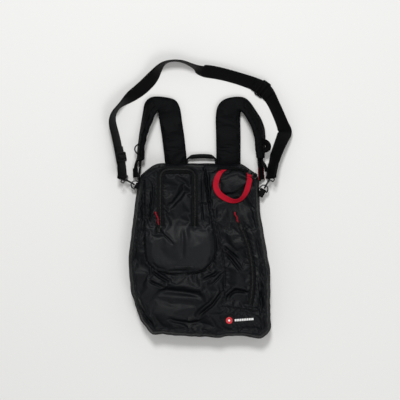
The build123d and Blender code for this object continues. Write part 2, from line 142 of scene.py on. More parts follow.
def grid_mesh(name, points, material, wrap_u=False, wrap_v=False, caps=False):
    count_u, count_v = points.shape[:2]
    faces = grid_faces(count_u, count_v, wrap_u, wrap_v)
    if caps:
        faces.append(tuple(reversed(range(count_v))) if wrap_v else ())
        faces.append(tuple((count_u - 1) * count_v + j for j in range(count_v)))
    return finish_mesh(name, points.reshape(-1, 3), faces, material)


def smoothstep(t):
    t = np.clip(t, 0, 1)
    return t * t * (3 - 2 * t)


def arc_lengths(points):
    steps = np.linalg.norm(np.diff(points, axis=0), axis=1)
    return np.concatenate([[0], np.cumsum(steps)])


def at_lengths(values, lengths, wanted):
    """Rows of values, given at these lengths along a line, read at the wanted lengths."""
    return np.stack([np.interp(wanted, lengths, column) for column in values.T], axis=1)


def smoothed(values, reach):
    """Running mean over reach values on either side."""
    count = 2 * reach + 1
    return np.convolve(np.pad(values, reach, mode="edge"), np.ones(count) / count, mode="valid")


def closed_line(line, step=1):
    """Every few points of a ring, with its first point again at the end."""
    return np.vstack([line[::step], line[:1]])


def resample(points, count, closed=False):
    """Evenly spaced points along a line."""
    points = np.asarray(points, float)
    if closed:
        points = closed_line(points)
    lengths = arc_lengths(points)
    out = at_lengths(points, lengths, np.linspace(0, lengths[-1], count + 1 if closed else count))
    return out[:-1] if closed else out


def curve_mesh(curve):
    """The mesh that a curve makes; the curve itself goes."""
    holder = link(bpy.data.objects.new(curve.name, curve))
    bpy.context.view_layer.update()
    mesh = bpy.data.meshes.new_from_object(holder.evaluated_get(bpy.context.evaluated_depsgraph_get()))
    bpy.data.objects.remove(holder)
    bpy.data.curves.remove(curve)
    return mesh


def spline_points(route, count):
    """Evenly spaced points on the smooth line that has the route as its control points."""
    curve = bpy.data.curves.new("route", "CURVE")
    curve.dimensions = "3D"
    spline = curve.splines.new("NURBS")
    spline.points.add(len(route) - 1)
    for point, place in zip(spline.points, route):
        point.co = (*place, 1)
    spline.order_u = 3
    spline.use_endpoint_u = True
    spline.resolution_u = 24
    mesh = curve_mesh(curve)
    points = np.array([v.co for v in mesh.vertices], float)
    bpy.data.meshes.remove(mesh)
    return resample(points, count)


def tangents(points, closed=False):
    if closed:
        d = np.roll(points, -1, axis=0) - np.roll(points, 1, axis=0)
    else:
        d = np.gradient(points, axis=0)
    return d / np.linalg.norm(d, axis=1)[:, None]


def frames_up(points, closed=False, up=(0, 0, 1), side=None):
    """Tangent, side and upright directions along a line, with side level unless it is given."""
    along = tangents(points, closed)
    if side is None:
        side = np.cross(np.array(up, float), along)
        side /= np.linalg.norm(side, axis=1)[:, None]
    else:
        side = np.broadcast_to(np.array(side, float), (len(points), 3))
    return along, side, np.cross(along, side)


def around(side, rise, turn):
    """Directions round a line at these angles, from its side and upright directions."""
    return side[:, None] * np.cos(turn)[None, :, None] + rise[:, None] * np.sin(turn)[None, :, None]


def tube(name, points, radius, material, closed=False, sides=10, up=(0, 0, 1)):
    """Round rod along a line."""
    points = np.asarray(points, float)
    _, side, rise = frames_up(points, closed, up)
    radius = np.broadcast_to(radius, (len(points),))
    turn = np.linspace(0, 2 * pi, sides, endpoint=False)
    grid = points[:, None] + around(side, rise, turn) * radius[:, None, None]
    return grid_mesh(name, grid, material, wrap_u=closed, wrap_v=True, caps=not closed)


def add_uv(obj, lengths, turn):
    """UV map of a swept grid: u is the length in metres, v is the share round the section."""
    mesh = obj.data
    layer = mesh.uv_layers.new(name="UVMap")
    count_v = len(turn)
    for loop in mesh.loops:
        i, j = divmod(loop.vertex_index, count_v)
        layer.data[loop.index].uv = (lengths[i], turn[j])


def there_and_back(values, sign=1):
    """Values out along one side of a section and back along the other."""
    return np.concatenate([values, sign * values[::-1]])


def rolled(side, rise, roll):
    """Side and upright directions turned about the line by degrees."""
    turn = np.radians(roll)[:, None]
    return side * np.cos(turn) + rise * np.sin(turn), rise * np.cos(turn) - side * np.sin(turn)


def ribbon(name, points, width, thick, material, rolls=0.0, cup=0.0, across=9, side=None):
    """Flat webbing along a line. rolls turns it about the line in degrees; cup bends its section."""
    _, side, rise = frames_up(points, side=side)
    side, rise = rolled(side, rise, np.broadcast_to(rolls, (len(points),)))
    width = np.broadcast_to(width, (len(points),))[:, None, None]
    s = np.linspace(-1, 1, across)
    edge = thick / 2 * (1 - 0.45 * np.abs(s) ** 6)
    section_side = there_and_back(s)
    section_rise = there_and_back(edge, -1) - cup * section_side ** 2
    grid = (points[:, None] + side[:, None] * section_side[None, :, None] * width / 2
            + rise[:, None] * section_rise[None, :, None])
    obj = grid_mesh(name, grid, material, wrap_v=True, caps=True)
    add_uv(obj, arc_lengths(points), section_side * 0.5 + 0.5)
    return obj


def join(name, pieces):
    """Joins meshes into one piece."""
    bpy.ops.object.select_all(action="DESELECT")
    for piece in pieces:
        piece.select_set(True)
    bpy.context.view_layer.objects.active = pieces[0]
    bpy.ops.object.join()
    pieces[0].name = name
    return pieces[0]


def place(obj, body, slot, *nodes):
    if nodes:
        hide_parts(*nodes)
    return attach(obj, body)


# ------------------------------------------------------------------ materials

def new_material(name, colour, roughness, **sockets):
    material = bpy.data.materials.new(name)
    material.use_nodes = True
    shader = material.node_tree.nodes["Principled BSDF"]
    shader.inputs["Base Color"].default_value = (*colour, 1)
    shader.inputs["Roughness"].default_value = roughness
    for socket, value in sockets.items():
        shader.inputs[socket.replace("_", " ")].default_value = value
    return material, material.node_tree, shader


def add_node(tree, kind, inputs=None, **settings):
    """Shader node with its settings; each input is a value, or a socket to link."""
    node = tree.nodes.new("ShaderNode" + kind)
    for key, value in settings.items():
        setattr(node, key, value)
    for key, value in (inputs or {}).items():
        if isinstance(value, bpy.types.NodeSocket):
            tree.links.new(value, node.inputs[key])
        else:
            node.inputs[key].default_value = value
    return node


def shade_range(tree, shader, source, colour, low, high):
    """Base colour that follows source between low and high times colour."""
    dark, light = ((*[c * share for c in colour], 1) for share in (low, high))
    ramp = add_node(tree, "Mix", {0: source, 6: dark, 7: light}, data_type="RGBA")
    tree.links.new(ramp.outputs[2], shader.inputs["Base Color"])


def roughness_range(tree, shader, source, low, high):
    remap = add_node(tree, "MapRange", {"Value": source, "To Min": low, "To Max": high})
    tree.links.new(remap.outputs["Result"], shader.inputs["Roughness"])


def bump(tree, shader, sources):
    """Bumps added one on the other: (height socket, strength, distance)."""
    below = {}
    for height, strength, distance in sources:
        node = add_node(tree, "Bump", {"Height": height, "Strength": strength, "Distance": distance, **below})
        below = {"Normal": node.outputs["Normal"]}
    tree.links.new(below["Normal"], shader.inputs["Normal"])


def wave(tree, coords, pitch, direction):
    """Ridges one pitch apart across a direction."""
    scale = 2 * pi / (20 * pitch)
    node = add_node(tree, "TexWave", {"Vector": coords, "Scale": scale, "Distortion": 0.4, "Detail": 1},
                    bands_direction=direction)
    return node.outputs["Fac"]


def math(tree, operation, a, b):
    return add_node(tree, "Math", {0: a, 1: b}, operation=operation).outputs[0]


def mixed(tree, a, b, share):
    """Two sources added, the first with this share."""
    return math(tree, "ADD", math(tree, "MULTIPLY", a, share), math(tree, "MULTIPLY", b, round(1 - share, 2)))


def noise_fac(tree, coords, scale, detail=3):
    return add_node(tree, "TexNoise", {"Vector": coords, "Scale": scale, "Detail": detail}).outputs["Fac"]


def object_coords(tree):
    return add_node(tree, "TexCoord").outputs["Object"]


def fabric(name, colour, roughness=0.5, pitch=0.7, weave=0.35, wrinkle=0.0, sheen=0.05, gloss=0.3,
           spread=(0.75, 1.3)):
    """Woven cloth in the object's own coordinates: crossed threads, uneven dye and small wrinkles."""
    material, tree, shader = new_material(name, colour, roughness, Sheen_Weight=sheen, Sheen_Roughness=0.45,
                                          Specular_IOR_Level=gloss)
    coords = object_coords(tree)
    threads = math(tree, "MULTIPLY", wave(tree, coords, pitch * MM, "X"), wave(tree, coords, pitch * MM, "Y"))
    patches = noise_fac(tree, coords, 14)
    grain = noise_fac(tree, coords, 900, 2)
    shade_range(tree, shader, mixed(tree, patches, threads, 0.7), colour, *spread)
    roughness_range(tree, shader, patches, roughness - 0.08, roughness + 0.1)
    layers = [(threads, weave, 0.25 * MM), (grain, 0.25, 0.15 * MM)]
    if wrinkle:
        crumple = noise_fac(tree, coords, 55, 4)
        layers.insert(0, (crumple, wrinkle, 2.2 * MM))
    bump(tree, shader, layers)
    return material


WALE_PITCH = 0.09


def webbing(name, colour, roughness=0.55, rib=1.6, sheen=0.04, gloss=0.22, spread=(0.75, 1.3)):
    """Ribbed webbing, in the length and breadth of the band."""
    material, tree, shader = new_material(name, colour, roughness, Sheen_Weight=sheen, Sheen_Roughness=0.4,
                                          Specular_IOR_Level=gloss)
    uv = add_node(tree, "TexCoord").outputs["UV"]
    weave = math(tree, "MULTIPLY", wave(tree, uv, rib * MM, "X"), wave(tree, uv, WALE_PITCH, "Y"))
    coords = object_coords(tree)
    patches = noise_fac(tree, coords, 30)
    shade_range(tree, shader, mixed(tree, weave, patches, 0.5), colour, *spread)
    roughness_range(tree, shader, patches, roughness - 0.08, roughness + 0.08)
    bump(tree, shader, [(weave, 0.5, 0.4 * MM), (noise_fac(tree, coords, 700, 2), 0.3, 0.15 * MM)])
    return material


def moulded(name, colour, roughness=0.35, grain=0.15, metallic=0.0, coat=0.0, gloss=0.5):
    """Moulded plastic or enamelled metal with a fine grain and wear."""
    material, tree, shader = new_material(name, colour, roughness, Metallic=metallic, Coat_Weight=coat,
                                          Specular_IOR_Level=gloss)
    coords = object_coords(tree)
    patches = noise_fac(tree, coords, 120)
    shade_range(tree, shader, patches, colour, 0.8, 1.35)
    roughness_range(tree, shader, patches, roughness - 0.08, roughness + 0.12)
    bump(tree, shader, [(noise_fac(tree, coords, 1500, 2), grain, 0.1 * MM)])
    return material


PAPER = (0.8, 0.8, 0.79)


def floor_material():
    material, tree, shader = new_material("floor_paper", PAPER, 0.85, Specular_IOR_Level=0.2)
    coords = object_coords(tree)
    shade_range(tree, shader, noise_fac(tree, coords, 1.2), PAPER, 0.985, 1.01)
    return material


BLACK = (0.0024, 0.0030, 0.0040)
POCKET_BLACK = (0.0050, 0.0058, 0.0070)
NYLON = fabric("shell_nylon", BLACK, 0.42, wrinkle=0.32, gloss=0.14, sheen=0.0)
NYLON_POCKET = fabric("pocket_nylon", POCKET_BLACK, 0.42, wrinkle=0.3, gloss=0.18, sheen=0.0)
# A duller copy of the shell's black nylon, rougher and less glossy: painted shade for the steep sides, in
# place of their self-shadow
NYLON_SIDE_SHADE = fabric("side_nylon_painted_shade", BLACK, 0.6, wrinkle=0.32, gloss=0.05, sheen=0.0)
NYLON_FLAT = fabric("strip_nylon", BLACK, 0.38, gloss=0.2, sheen=0.0)
PAD = fabric("pad_fabric", (0.0028, 0.0031, 0.0036), 0.62, 1.2, 0.5, wrinkle=0.25, gloss=0.06, sheen=0.0)
MESH = fabric("back_mesh", (0.006, 0.006, 0.0065), 0.75, 2.2, 0.9, gloss=0.2)
LINING = fabric("lining_cloth", (0.03, 0.03, 0.033), 0.6, wrinkle=0.4)
BINDING = fabric("binding_tape", (0.0024, 0.0026, 0.0031), 0.65, 0.9, 0.6, gloss=0.05, sheen=0.0)
TAPE = fabric("zip_tape", (0.0024, 0.0027, 0.0033), 0.65, 0.5, gloss=0.1, sheen=0.0)
RED_CORD = fabric("red_cord", (0.30, 0.004, 0.013), 0.65, 0.8, 0.8, gloss=0.15, sheen=0.0)
THREAD = fabric("thread", (0.0055, 0.006, 0.0072), 0.55, 0.3, gloss=0.2, sheen=0.0)
DARK_THREAD = fabric("dark_thread", (0.004, 0.004, 0.0045), 0.6, 0.3, gloss=0.12, sheen=0.0)
WEBBING = webbing("black_webbing", (0.0022, 0.0023, 0.0024), gloss=0.07, sheen=0.015)
RED_WEBBING = webbing("red_webbing", (0.42, 0.004, 0.019), 0.65, gloss=0.12, sheen=0.0, spread=(0.8, 1.15))
COIL = moulded("zip_coil", (0.006, 0.006, 0.0065), 0.35)
METAL = moulded("black_enamel", (0.008, 0.008, 0.0085), 0.34, metallic=0.3, coat=0.08)
PLASTIC = moulded("black_plastic", (0.0028, 0.0028, 0.0032), 0.5, gloss=0.09)
BADGE_RED = moulded("badge_red", (0.5, 0.012, 0.02), 0.3, coat=0.4)
BADGE_WHITE = moulded("badge_white", (0.8, 0.8, 0.8), 0.45)


# ------------------------------------------------------------------ sling strap

SLING_WIDTH, SLING_THICK = 38 * MM, 1.8 * MM
HOOK_AXIS_HEIGHT = 22
EYE_ROLL = 60
SLING_ROUTE = [
    (-195.0, 184.0, 60),
    (-195, 203, 62), (-200, 228, 62), (-204, 254, 60), (-211, 290, 60), (-221, 325, 62), (-217, 348, 74),
    (-201, 368, 80), (-174, 390, 45), (-145, 411, 33), (-119, 437, 36), (-100, 466, 68), (-84, 478, 85),
    (-63, 482, 88), (-40, 479, 84), (-18, 469, 80), (-3, 461, 70), (8, 456, 37), (34, 453, 36), (67, 446, 40),
    (105, 435, 40), (141, 423, 34), (166, 410, 18), (178, 394, 30), (187, 377, 42), (202, 345, 42),
    (213, 317, 40), (217.5, 307, 32), (219, 300, 16), (216, 292, 30), (206, 270, 40), (195, 242, 44),
    (188, 215, 54),
    (183.6, 187.7, 60),
]


def lying_height(roll):
    """Height of the webbing's centre line when its lower edge rests on the floor, in millimetres."""
    return 19 * abs(sin(radians(roll))) + cos(radians(roll)) + 0.4


def make_sling():
    route = [Vector((x, y, lying_height(roll))) * MM for x, y, roll in SLING_ROUTE]
    route[0].z = route[-1].z = HOOK_AXIS_HEIGHT * MM
    points = spline_points(route, 420)
    marks = arc_lengths(np.array(route))
    at = arc_lengths(points)
    rolls = smoothed(np.interp(at / at[-1], marks / marks[-1], [roll for _, _, roll in SLING_ROUTE]), 6)
    obj = ribbon("sling_webbing_band", points, SLING_WIDTH, SLING_THICK, WEBBING, rolls, cup=0.6 * MM,
                 across=13)
    place(obj, "root", "black_webbing", "sling_webbing")
    return points, rolls


make_camera()
make_stage()
sling_points, sling_rolls = make_sling()


# ------------------------------------------------------------------ bag body: its front as one surface

SEAM_HEIGHT = 5.5 * MM
FRONT_HEIGHT = 58 * MM
EDGE_ROLL = 15 * MM
REFINE = 3
FINE_U, FINE_V = 93 * REFINE + 1, 117 * REFINE + 1
CLOTH_SPARE = 0.045
CLOTH_MOVE = 9 * MM
LOOP_MIDDLE = (0.087, 0.168)
SLACK, POCKET_BULGE, POCKET_STEP, LOOP_BULGE = 5 * MM, 5.5 * MM, 3 * MM, 3.4 * MM


def cad_outline(node):
    """The node's outline as seen from above, in order, from its top face."""
    mesh = frame["nodes"][node].data
    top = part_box(node)[1].z
    places = {(round(v.co.x, 6), round(v.co.y, 6)) for v in mesh.vertices if v.co.z > top - 0.01 * MM}
    places = np.array(sorted(places))
    centre = places.mean(axis=0)
    order = np.argsort(np.arctan2(places[:, 1] - centre[1], places[:, 0] - centre[0]))
    return places[order]


def fractal(x, y, scale, seed, octaves=3):
    """Smooth noise about zero over the points."""
    flat = [noise.fractal(Vector((a / scale, b / scale, seed)), 0.6, 2.1, octaves)
            for a, b in zip(np.ravel(x), np.ravel(y))]
    return np.array(flat).reshape(np.shape(x))


def smooth_ring(points, spread):
    """A closed line rounded off over the given number of points."""
    reach = np.arange(-3 * spread, 3 * spread + 1)
    weight = np.exp(-(reach / spread) ** 2)
    return sum(w * np.roll(points, r, axis=0) for w, r in zip(weight / weight.sum(), reach))


# Where the sewn edge bulges at its foot, and is drawn in at a top corner: x, y, reach and depth
FOOT_BULGE = (0.035, -0.19, 0.045, 5 * MM)
CORNER_DENT = (-0.143, 0.199, 0.022, 6 * MM)


def body_outline():
    """The sewn edge of the bag: the panel's outline, rounded off and a little uneven."""
    line = smooth_ring(resample(cad_outline("back_panel"), 720, closed=True), 5)
    along = tangents(line, closed=True)
    outward = np.stack([along[:, 1], -along[:, 0]], axis=1)
    uneven = fractal(line[:, 0], line[:, 1], 0.035, 5, 2)
    low = smoothstep((-0.05 - line[:, 1]) / 0.12)
    move = uneven * (0.8 + 2.6 * low) * MM
    x, y, reach, depth = FOOT_BULGE
    move += depth * np.exp(-((line[:, 0] - x) / reach) ** 2) * (line[:, 1] < y)
    x, y, reach, depth = CORNER_DENT
    move -= depth * np.exp(-(np.hypot(line[:, 0] - x, line[:, 1] - y) / reach) ** 2)
    return line + outward * move[:, None]


def segment_distance(x, y, a, b):
    """Distance of points from a segment, and the share along it."""
    dx, dy = b[0] - a[0], b[1] - a[1]
    share = np.clip(((x - a[0]) * dx + (y - a[1]) * dy) / (dx * dx + dy * dy), 0, 1)
    return np.hypot(x - a[0] - share * dx, y - a[1] - share * dy), share


def line_distance(x, y, line):
    """Distance of points from a line of points, and the share along the line."""
    lengths = arc_lengths(line)
    best = np.full(np.shape(x), 9.0)
    share = np.zeros(np.shape(x))
    for i, (a, b) in enumerate(zip(line, line[1:])):
        distance, part = segment_distance(x, y, a, b)
        here = (lengths[i] + part * (lengths[i + 1] - lengths[i])) / lengths[-1]
        share = np.where(distance < best, here, share)
        best = np.minimum(best, distance)
    return best, share


def signed_distance(x, y, line):
    """Distance from a line, positive on its left, and the share along it."""
    distance, share = line_distance(x, y, line)
    lengths = arc_lengths(line)
    along = tangents(line)
    at = share * lengths[-1]
    px, py, tx, ty = (np.interp(at, lengths, column) for column in (*line.T, *along.T))
    return np.sign(tx * (y - py) - ty * (x - px)) * distance, share


OUTLINE = body_outline()
CORNERS = [(-0.139, -0.190), (0.180, -0.216), (0.150, 0.192), (-0.150, 0.196)]


def coons_grid(count_u, count_v):
    """Grid of points over the body's outline, from its four sides, closer together near the edges."""
    marks = [int(np.argmin(np.hypot(*(OUTLINE - corner).T))) for corner in CORNERS]

    def side(start, end, share):
        stop = end if end > start else end + len(OUTLINE)
        line = OUTLINE[np.arange(start, stop + 1) % len(OUTLINE)]
        lengths = arc_lengths(line)
        return at_lengths(line, lengths, share * lengths[-1])

    even = (np.linspace(0, 1, count) for count in (count_u, count_v))
    u, v = (t - 0.4 * np.sin(2 * pi * t) / (2 * pi) for t in even)
    bottom, right = side(marks[0], marks[1], u), side(marks[1], marks[2], v)
    top, left = side(marks[2], marks[3], 1 - u), side(marks[3], marks[0], 1 - v)
    grid_u, grid_v = u[:, None, None], v[None, :, None]
    ruled = ((1 - grid_v) * bottom[:, None] + grid_v * top[:, None]
             + (1 - grid_u) * left[None] + grid_u * right[None])
    corner = ((1 - grid_u) * ((1 - grid_v) * bottom[0] + grid_v * top[0])
              + grid_u * ((1 - grid_v) * bottom[-1] + grid_v * top[-1]))
    return ruled - corner


def level_line(points, height, count):
    """Smooth line at one height past a few points given in millimetres."""
    return spline_points([(x * MM, y * MM, height) for x, y in points], count)


def spine(points, count=40):
    """Smooth line past a few points given in millimetres, as seen from above."""
    return level_line(points, 0, count)[:, :2]


FLAP_LOW, FLAP_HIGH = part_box("front_flap")
FLAP_CORNER = 20 * MM


def arch_line(inset, count=160):
    """The flap's outline, open at its foot, inset from its edge."""
    left, right = FLAP_LOW.x + inset, FLAP_HIGH.x - inset
    foot, head = FLAP_LOW.y, FLAP_HIGH.y - inset
    corner = FLAP_CORNER - inset
    turn = np.linspace(0, pi / 2, 12)
    first = [(left + corner - corner * cos(t), head - corner + corner * sin(t)) for t in turn]
    second = [(right - corner + corner * sin(t), head - corner + corner * cos(t)) for t in turn]
    return resample([(left, foot), *first, *second, (right, foot)], count)


def inside_flap(x, y):
    dx = np.maximum(np.maximum(FLAP_LOW.x + FLAP_CORNER - x, x - (FLAP_HIGH.x - FLAP_CORNER)), 0)
    dy = np.maximum(y - (FLAP_HIGH.y - FLAP_CORNER), 0)
    return (np.hypot(dx, dy) < FLAP_CORNER) & (y > FLAP_LOW.y)


SIDE_ZIP_CENTRE = Vector(JOINTS["side_zip_slide"]["pos_m"])
SIDE_ZIP_RADIUS = 297.7 * MM
SIDE_ZIP_TURN = (26.0, -12.5)


def side_arc(offset, count=90, turn=SIDE_ZIP_TURN):
    """Points beside the curved zip of the side pocket."""
    angle = np.radians(np.linspace(*turn, count))
    radius = SIDE_ZIP_RADIUS + offset
    return np.array(SIDE_ZIP_CENTRE.xy) + radius * np.stack([np.cos(angle), np.sin(angle)], axis=1)


POCKET_SEAM = spine([(-138, 175), (-138, 105), (-136, -10), (-126, -40), (-95, -58), (-29, -61), (14, -52),
                     (38, -24), (44, 8), (37, 60), (27, 107), (18, 165), (14, 207)], 160)
SIDE_SEAM = spine([(30, 118), (34, 92), (50, 30), (63, -22), (66, -100), (58, -134)], 80)
HEM_SEAM = spine([(60, -141), (90, -145), (120, -149), (148, -153)], 60)
TOP_SEAM = spine([(-84, 199), (-60, 199.5), (-30, 199), (-12, 198)], 50)
BAND_SEAM = spine([(-62, -43), (-38, -44.5), (-12, -44)], 40)
SEAMS = [POCKET_SEAM, SIDE_SEAM, HEM_SEAM]

# Folds of the slack cloth: points along each, its width, the ridge on its left and the valley, in millimetres
FOLDS = [
    ([(-118, -100), (-70, -101), (-20, -106), (30, -118)], 15, 3.5, 8),
    ([(-120, -122), (-60, -134), (0, -132), (48, -118)], 16, 2.5, 1.5),
    ([(-122, -46), (-98, -72), (-70, -82)], 6, 2.5, 4.5),
    ([(-128, -74), (-108, -86), (-84, -92)], 6, 2.5, 5),
    ([(4, -76), (28, -66), (52, -48)], 6, 2.5, 4.5),
    ([(20, -92), (42, -78), (62, -54)], 6, 2, 3.5),
    ([(-6, -168), (18, -148), (40, -131), (60, -98)], 8, 3, 6),
    ([(-86, 102), (-60, 126), (-26, 168)], 17, 3, 6),
    ([(-98, 47), (-80, 36), (-62, 14)], 5, 2.2, 4),
    ([(60, 12), (82, -5), (101, -24)], 6, 2.4, 4),
    ([(64, -3), (86, -26), (108, -58)], 6, 2, 4.5),
    ([(66, -126), (82, -104), (106, -101), (128, -108)], 9, 3, 7.5),
    ([(-14, 203), (-16, 120), (-10, 46)], 7, 2.5, 5.5),
    ([(18, 203), (20, 150), (29, 96)], 5, 3, 3),
    ([(4, 198), (3, 130), (12, 62)], 4, 2, 3),
    ([(-118, 178), (-121, 120), (-127, 60)], 5, 2.2, 3.5),
    ([(-140, 160), (-142, 90), (-149, 34)], 6, 2.2, 3.5),
    ([(-150, 90), (-160, 20), (-164, -50)], 9, 2, 3.5),
    ([(-44, 60), (-36, 20), (-44, -20)], 9, 1.6, 2.2),
    ([(-160, -110), (-140, -160), (-112, -196)], 12, 2, 5),
    ([(-88, -168), (-40, -182), (10, -180), (46, -190)], 10, 2.2, 3.2),
    ([(150, -60), (160, -110), (158, -170)], 9, 2.4, 3.5),
]


def fold_relief(x, y):
    """Ridges and valleys of the named folds."""
    relief = np.zeros(np.shape(x))
    for points, width, ridge, valley in FOLDS:
        off, along = signed_distance(x, y, spine(points))
        ends = smoothstep(along / 0.25) * smoothstep((1 - along) / 0.25)
        s = off / (width * MM)
        relief += ends * (ridge * np.exp(-((s - 0.95) / 0.6) ** 2) - valley * np.exp(-((s + 0.1) / 0.5) ** 2))
    return relief * MM


SLIDER_LINE = np.array([(-0.1014, 0.045), (-0.1014, 0.19)])
BADGE_LINE = np.array([(0.075, -0.179), (0.138, -0.175)])


def zip_nearness(x, y):
    """1 on the zips and on the badge, falling to 0 a little way off: there the cloth lies flat."""
    lines = ((arch_line(0, 60), 0), (side_arc(2 * MM, 30), 0), (SLIDER_LINE, 0), (BADGE_LINE, 4 * MM))
    near = np.min([line_distance(x, y, line)[0] - half for line, half in lines], axis=0)
    return np.exp(-(np.maximum(near, 0) / (9 * MM)) ** 2)


POCKET_LEFT, POCKET_RIGHT, POCKET_FOOT = -0.14, 0.045, -0.062


def within_pocket(x, y):
    """How far inside the front pocket's curved seam the points are, 0 outside it."""
    beside, _ = signed_distance(x, y, POCKET_SEAM)
    boxed = (x > POCKET_LEFT) & (x < POCKET_RIGHT) & (y > POCKET_FOOT)
    return np.where(boxed, np.maximum(beside, 0), 0)


def slack_front():
    """The front and sides before the cloth settles."""
    xy = coons_grid(FINE_U, FINE_V).reshape(-1, 2)
    inside, _ = line_distance(*xy.T, closed_line(OUTLINE, 6))
    near = inside < 1.5 * EDGE_ROLL
    closed = closed_line(OUTLINE)
    inside[near], along = line_distance(*xy[near].T, closed)
    lengths = arc_lengths(closed)
    foot = at_lengths(closed, lengths, along * lengths[-1])
    roll = EDGE_ROLL * (1 + 0.3 * fractal(*xy.T, 0.09, 3, 1))
    angle = np.clip(inside / roll, 0, 1) * pi / 2
    edge = np.sin(angle) ** 0.8
    inset = np.where(inside < roll, roll * (1 - np.cos(angle) ** 0.8), inside)
    shift = inset[near] / np.maximum(inside[near], 1e-6)
    xy[near] = foot + (xy[near] - foot) * shift[:, None]
    x, y, edge = (values.reshape(FINE_U, FINE_V) for values in (*xy.T, edge))
    within = within_pocket(x, y)
    bulge = POCKET_BULGE * smoothstep(within / (20 * MM)) * smoothstep((0.09 - y) / 0.07)
    bulge += POCKET_STEP * smoothstep(within / (5 * MM))
    held = np.hypot((x - LOOP_MIDDLE[0]) * 0.9, y - LOOP_MIDDLE[1]) + 6 * MM * fractal(x, y, 0.03, 41, 2)
    bulge += LOOP_BULGE * (1 - smoothstep((held - 14 * MM) / (20 * MM)))
    relief = SLACK * fractal(x, y, 0.11, 11, 2) + fold_relief(x, y) + bulge
    relief *= 1 - zip_nearness(x, y)
    height = FRONT_HEIGHT + relief
    z = SEAM_HEIGHT + (height - SEAM_HEIGHT) * edge
    return np.stack([x, y, z], axis=-1)


CLOTH = {"quality": 6, "mass": 0.15, "tension_stiffness": 15, "compression_stiffness": 15,
         "shear_stiffness": 5, "air_damping": 3, "use_pressure": True}


def settle(name, points, pin, spare, pressure, frames, limit, bend, wrap_v=False):
    """Lets a grid of cloth, cut larger by spare, settle; pin holds points, limit caps how far one moves."""
    flat = points.reshape(-1, 3)
    obj = finish_mesh(name, flat, grid_faces(*points.shape[:2], wrap_v=wrap_v), NYLON)
    group = obj.vertex_groups.new(name="pin")
    for index, weight in enumerate(np.ravel(pin)):
        group.add([index], float(weight), "REPLACE")
    cloth = obj.modifiers.new("cloth", "CLOTH")
    settings = cloth.settings
    settings.vertex_group_mass = "pin"
    settings.shrink_min = settings.shrink_max = -spare
    for key, value in CLOTH.items():
        setattr(settings, key, value)
    settings.bending_stiffness = bend
    settings.uniform_pressure_force = pressure
    settings.effector_weights.gravity = 0
    cloth.collision_settings.use_collision = False
    for step in range(1, frames + 1):
        bpy.context.scene.frame_set(step)
    settled = obj.evaluated_get(bpy.context.evaluated_depsgraph_get())
    moved = np.array([v.co for v in settled.data.vertices]) - flat
    bpy.context.scene.frame_set(1)
    bpy.data.objects.remove(obj)
    length = np.linalg.norm(moved, axis=1)[:, None]
    moved *= limit * np.tanh(length / limit) / np.maximum(length, 1e-9)
    return moved.reshape(points.shape)


def refine(grid, times):
    """A grid of values made finer, on a smooth curve through the old ones."""
    for axis in (0, 1):
        count = grid.shape[axis]
        at = np.arange((count - 1) * times + 1) / times
        base = np.clip(at.astype(int), 0, count - 2)
        t = (at - base).reshape([-1 if k == axis else 1 for k in range(grid.ndim)])
        p0, p1, p2, p3 = (np.take(grid, np.clip(base + k, 0, count - 1), axis=axis) for k in (-1, 0, 1, 2))
        grid = p1 + 0.5 * t * (p2 - p0 + t * (2 * p0 - 5 * p1 + 4 * p2 - p3 + t * (3 * (p1 - p2) + p3 - p0)))
    return grid


def seam_relief(x, y):
    """Sewn seams: a narrow groove, with the cloth puckered beside it."""
    relief = np.zeros(np.shape(x))
    for seam in SEAMS:
        off, along = line_distance(x, y, seam)
        length = arc_lengths(seam)[-1]
        pucker = 0.18 * np.sin(2 * pi * along * length / (11 * MM) + 5 * np.sin(along * 31))
        relief += pucker * np.exp(-((off - 5 * MM) / (4 * MM)) ** 2) - 2.8 * np.exp(-(off / (1.9 * MM)) ** 2)
    return relief * MM


def seam_nearness(x, y):
    """1 on the seams, falling to 0 a little way off: there the cloth is held down."""
    near = np.min([line_distance(x, y, seam)[0] for seam in SEAMS], axis=0)
    return np.exp(-(near / (5 * MM)) ** 2)


def front_surface():
    """The settled front: slack cloth, its folds, then the seams."""
    fine = slack_front()
    coarse = fine[::REFINE, ::REFINE]
    x, y = coarse[..., 0], coarse[..., 1]
    edge_distance, _ = line_distance(x, y, closed_line(OUTLINE, 6))
    pin = np.maximum(0.9 * zip_nearness(x, y), 0.55 * seam_nearness(x, y))
    pin = np.maximum(pin, 0.8 * np.exp(-(edge_distance / (13 * MM)) ** 2))
    pin[[0, -1], :] = 1
    pin[:, [0, -1]] = 1
    moved = settle("front_trial", coarse, pin, CLOTH_SPARE, pressure=0.5, frames=20, limit=CLOTH_MOVE,
                   bend=2.0)
    moved *= 1 - np.exp(-(edge_distance / (10 * MM)) ** 2)[..., None]
    fine = fine + refine(moved, REFINE)
    fine[..., 2] += seam_relief(fine[..., 0], fine[..., 1])
    return fine


SURFACE = front_surface()
SURFACE_FACES = np.array(grid_faces(FINE_U, FINE_V))
SURFACE_TREE = BVHTree.FromPolygons([tuple(p) for p in SURFACE.reshape(-1, 3)], SURFACE_FACES.tolist())


def vertex_normals(points, faces):
    """Mean normals of a mesh of quads."""
    corners = points[faces]
    normal = np.cross(corners[:, 2] - corners[:, 0], corners[:, 3] - corners[:, 1])
    total = np.zeros(points.shape)
    for k in range(4):
        np.add.at(total, faces[:, k], normal)
    return total / np.maximum(np.linalg.norm(total, axis=1)[:, None], 1e-12)


def on_surface(line, lift=0.0):
    """Points of a line seen from above, set on the bag's front."""
    points = []
    for x, y in line:
        hit, normal, _, _ = SURFACE_TREE.ray_cast(Vector((x, y, 0.2)), Vector((0, 0, -1)))
        if hit is None:
            hit, normal, _, _ = SURFACE_TREE.find_nearest(Vector((x, y, SEAM_HEIGHT)))
        points.append(hit + normal * lift * (1 if normal.z > 0 else -1))
    return np.array(points)


def offset_line(line, distance):
    """A line moved to its left."""
    along = tangents(line)
    return line + np.stack([-along[:, 1], along[:, 0]], axis=1) * distance


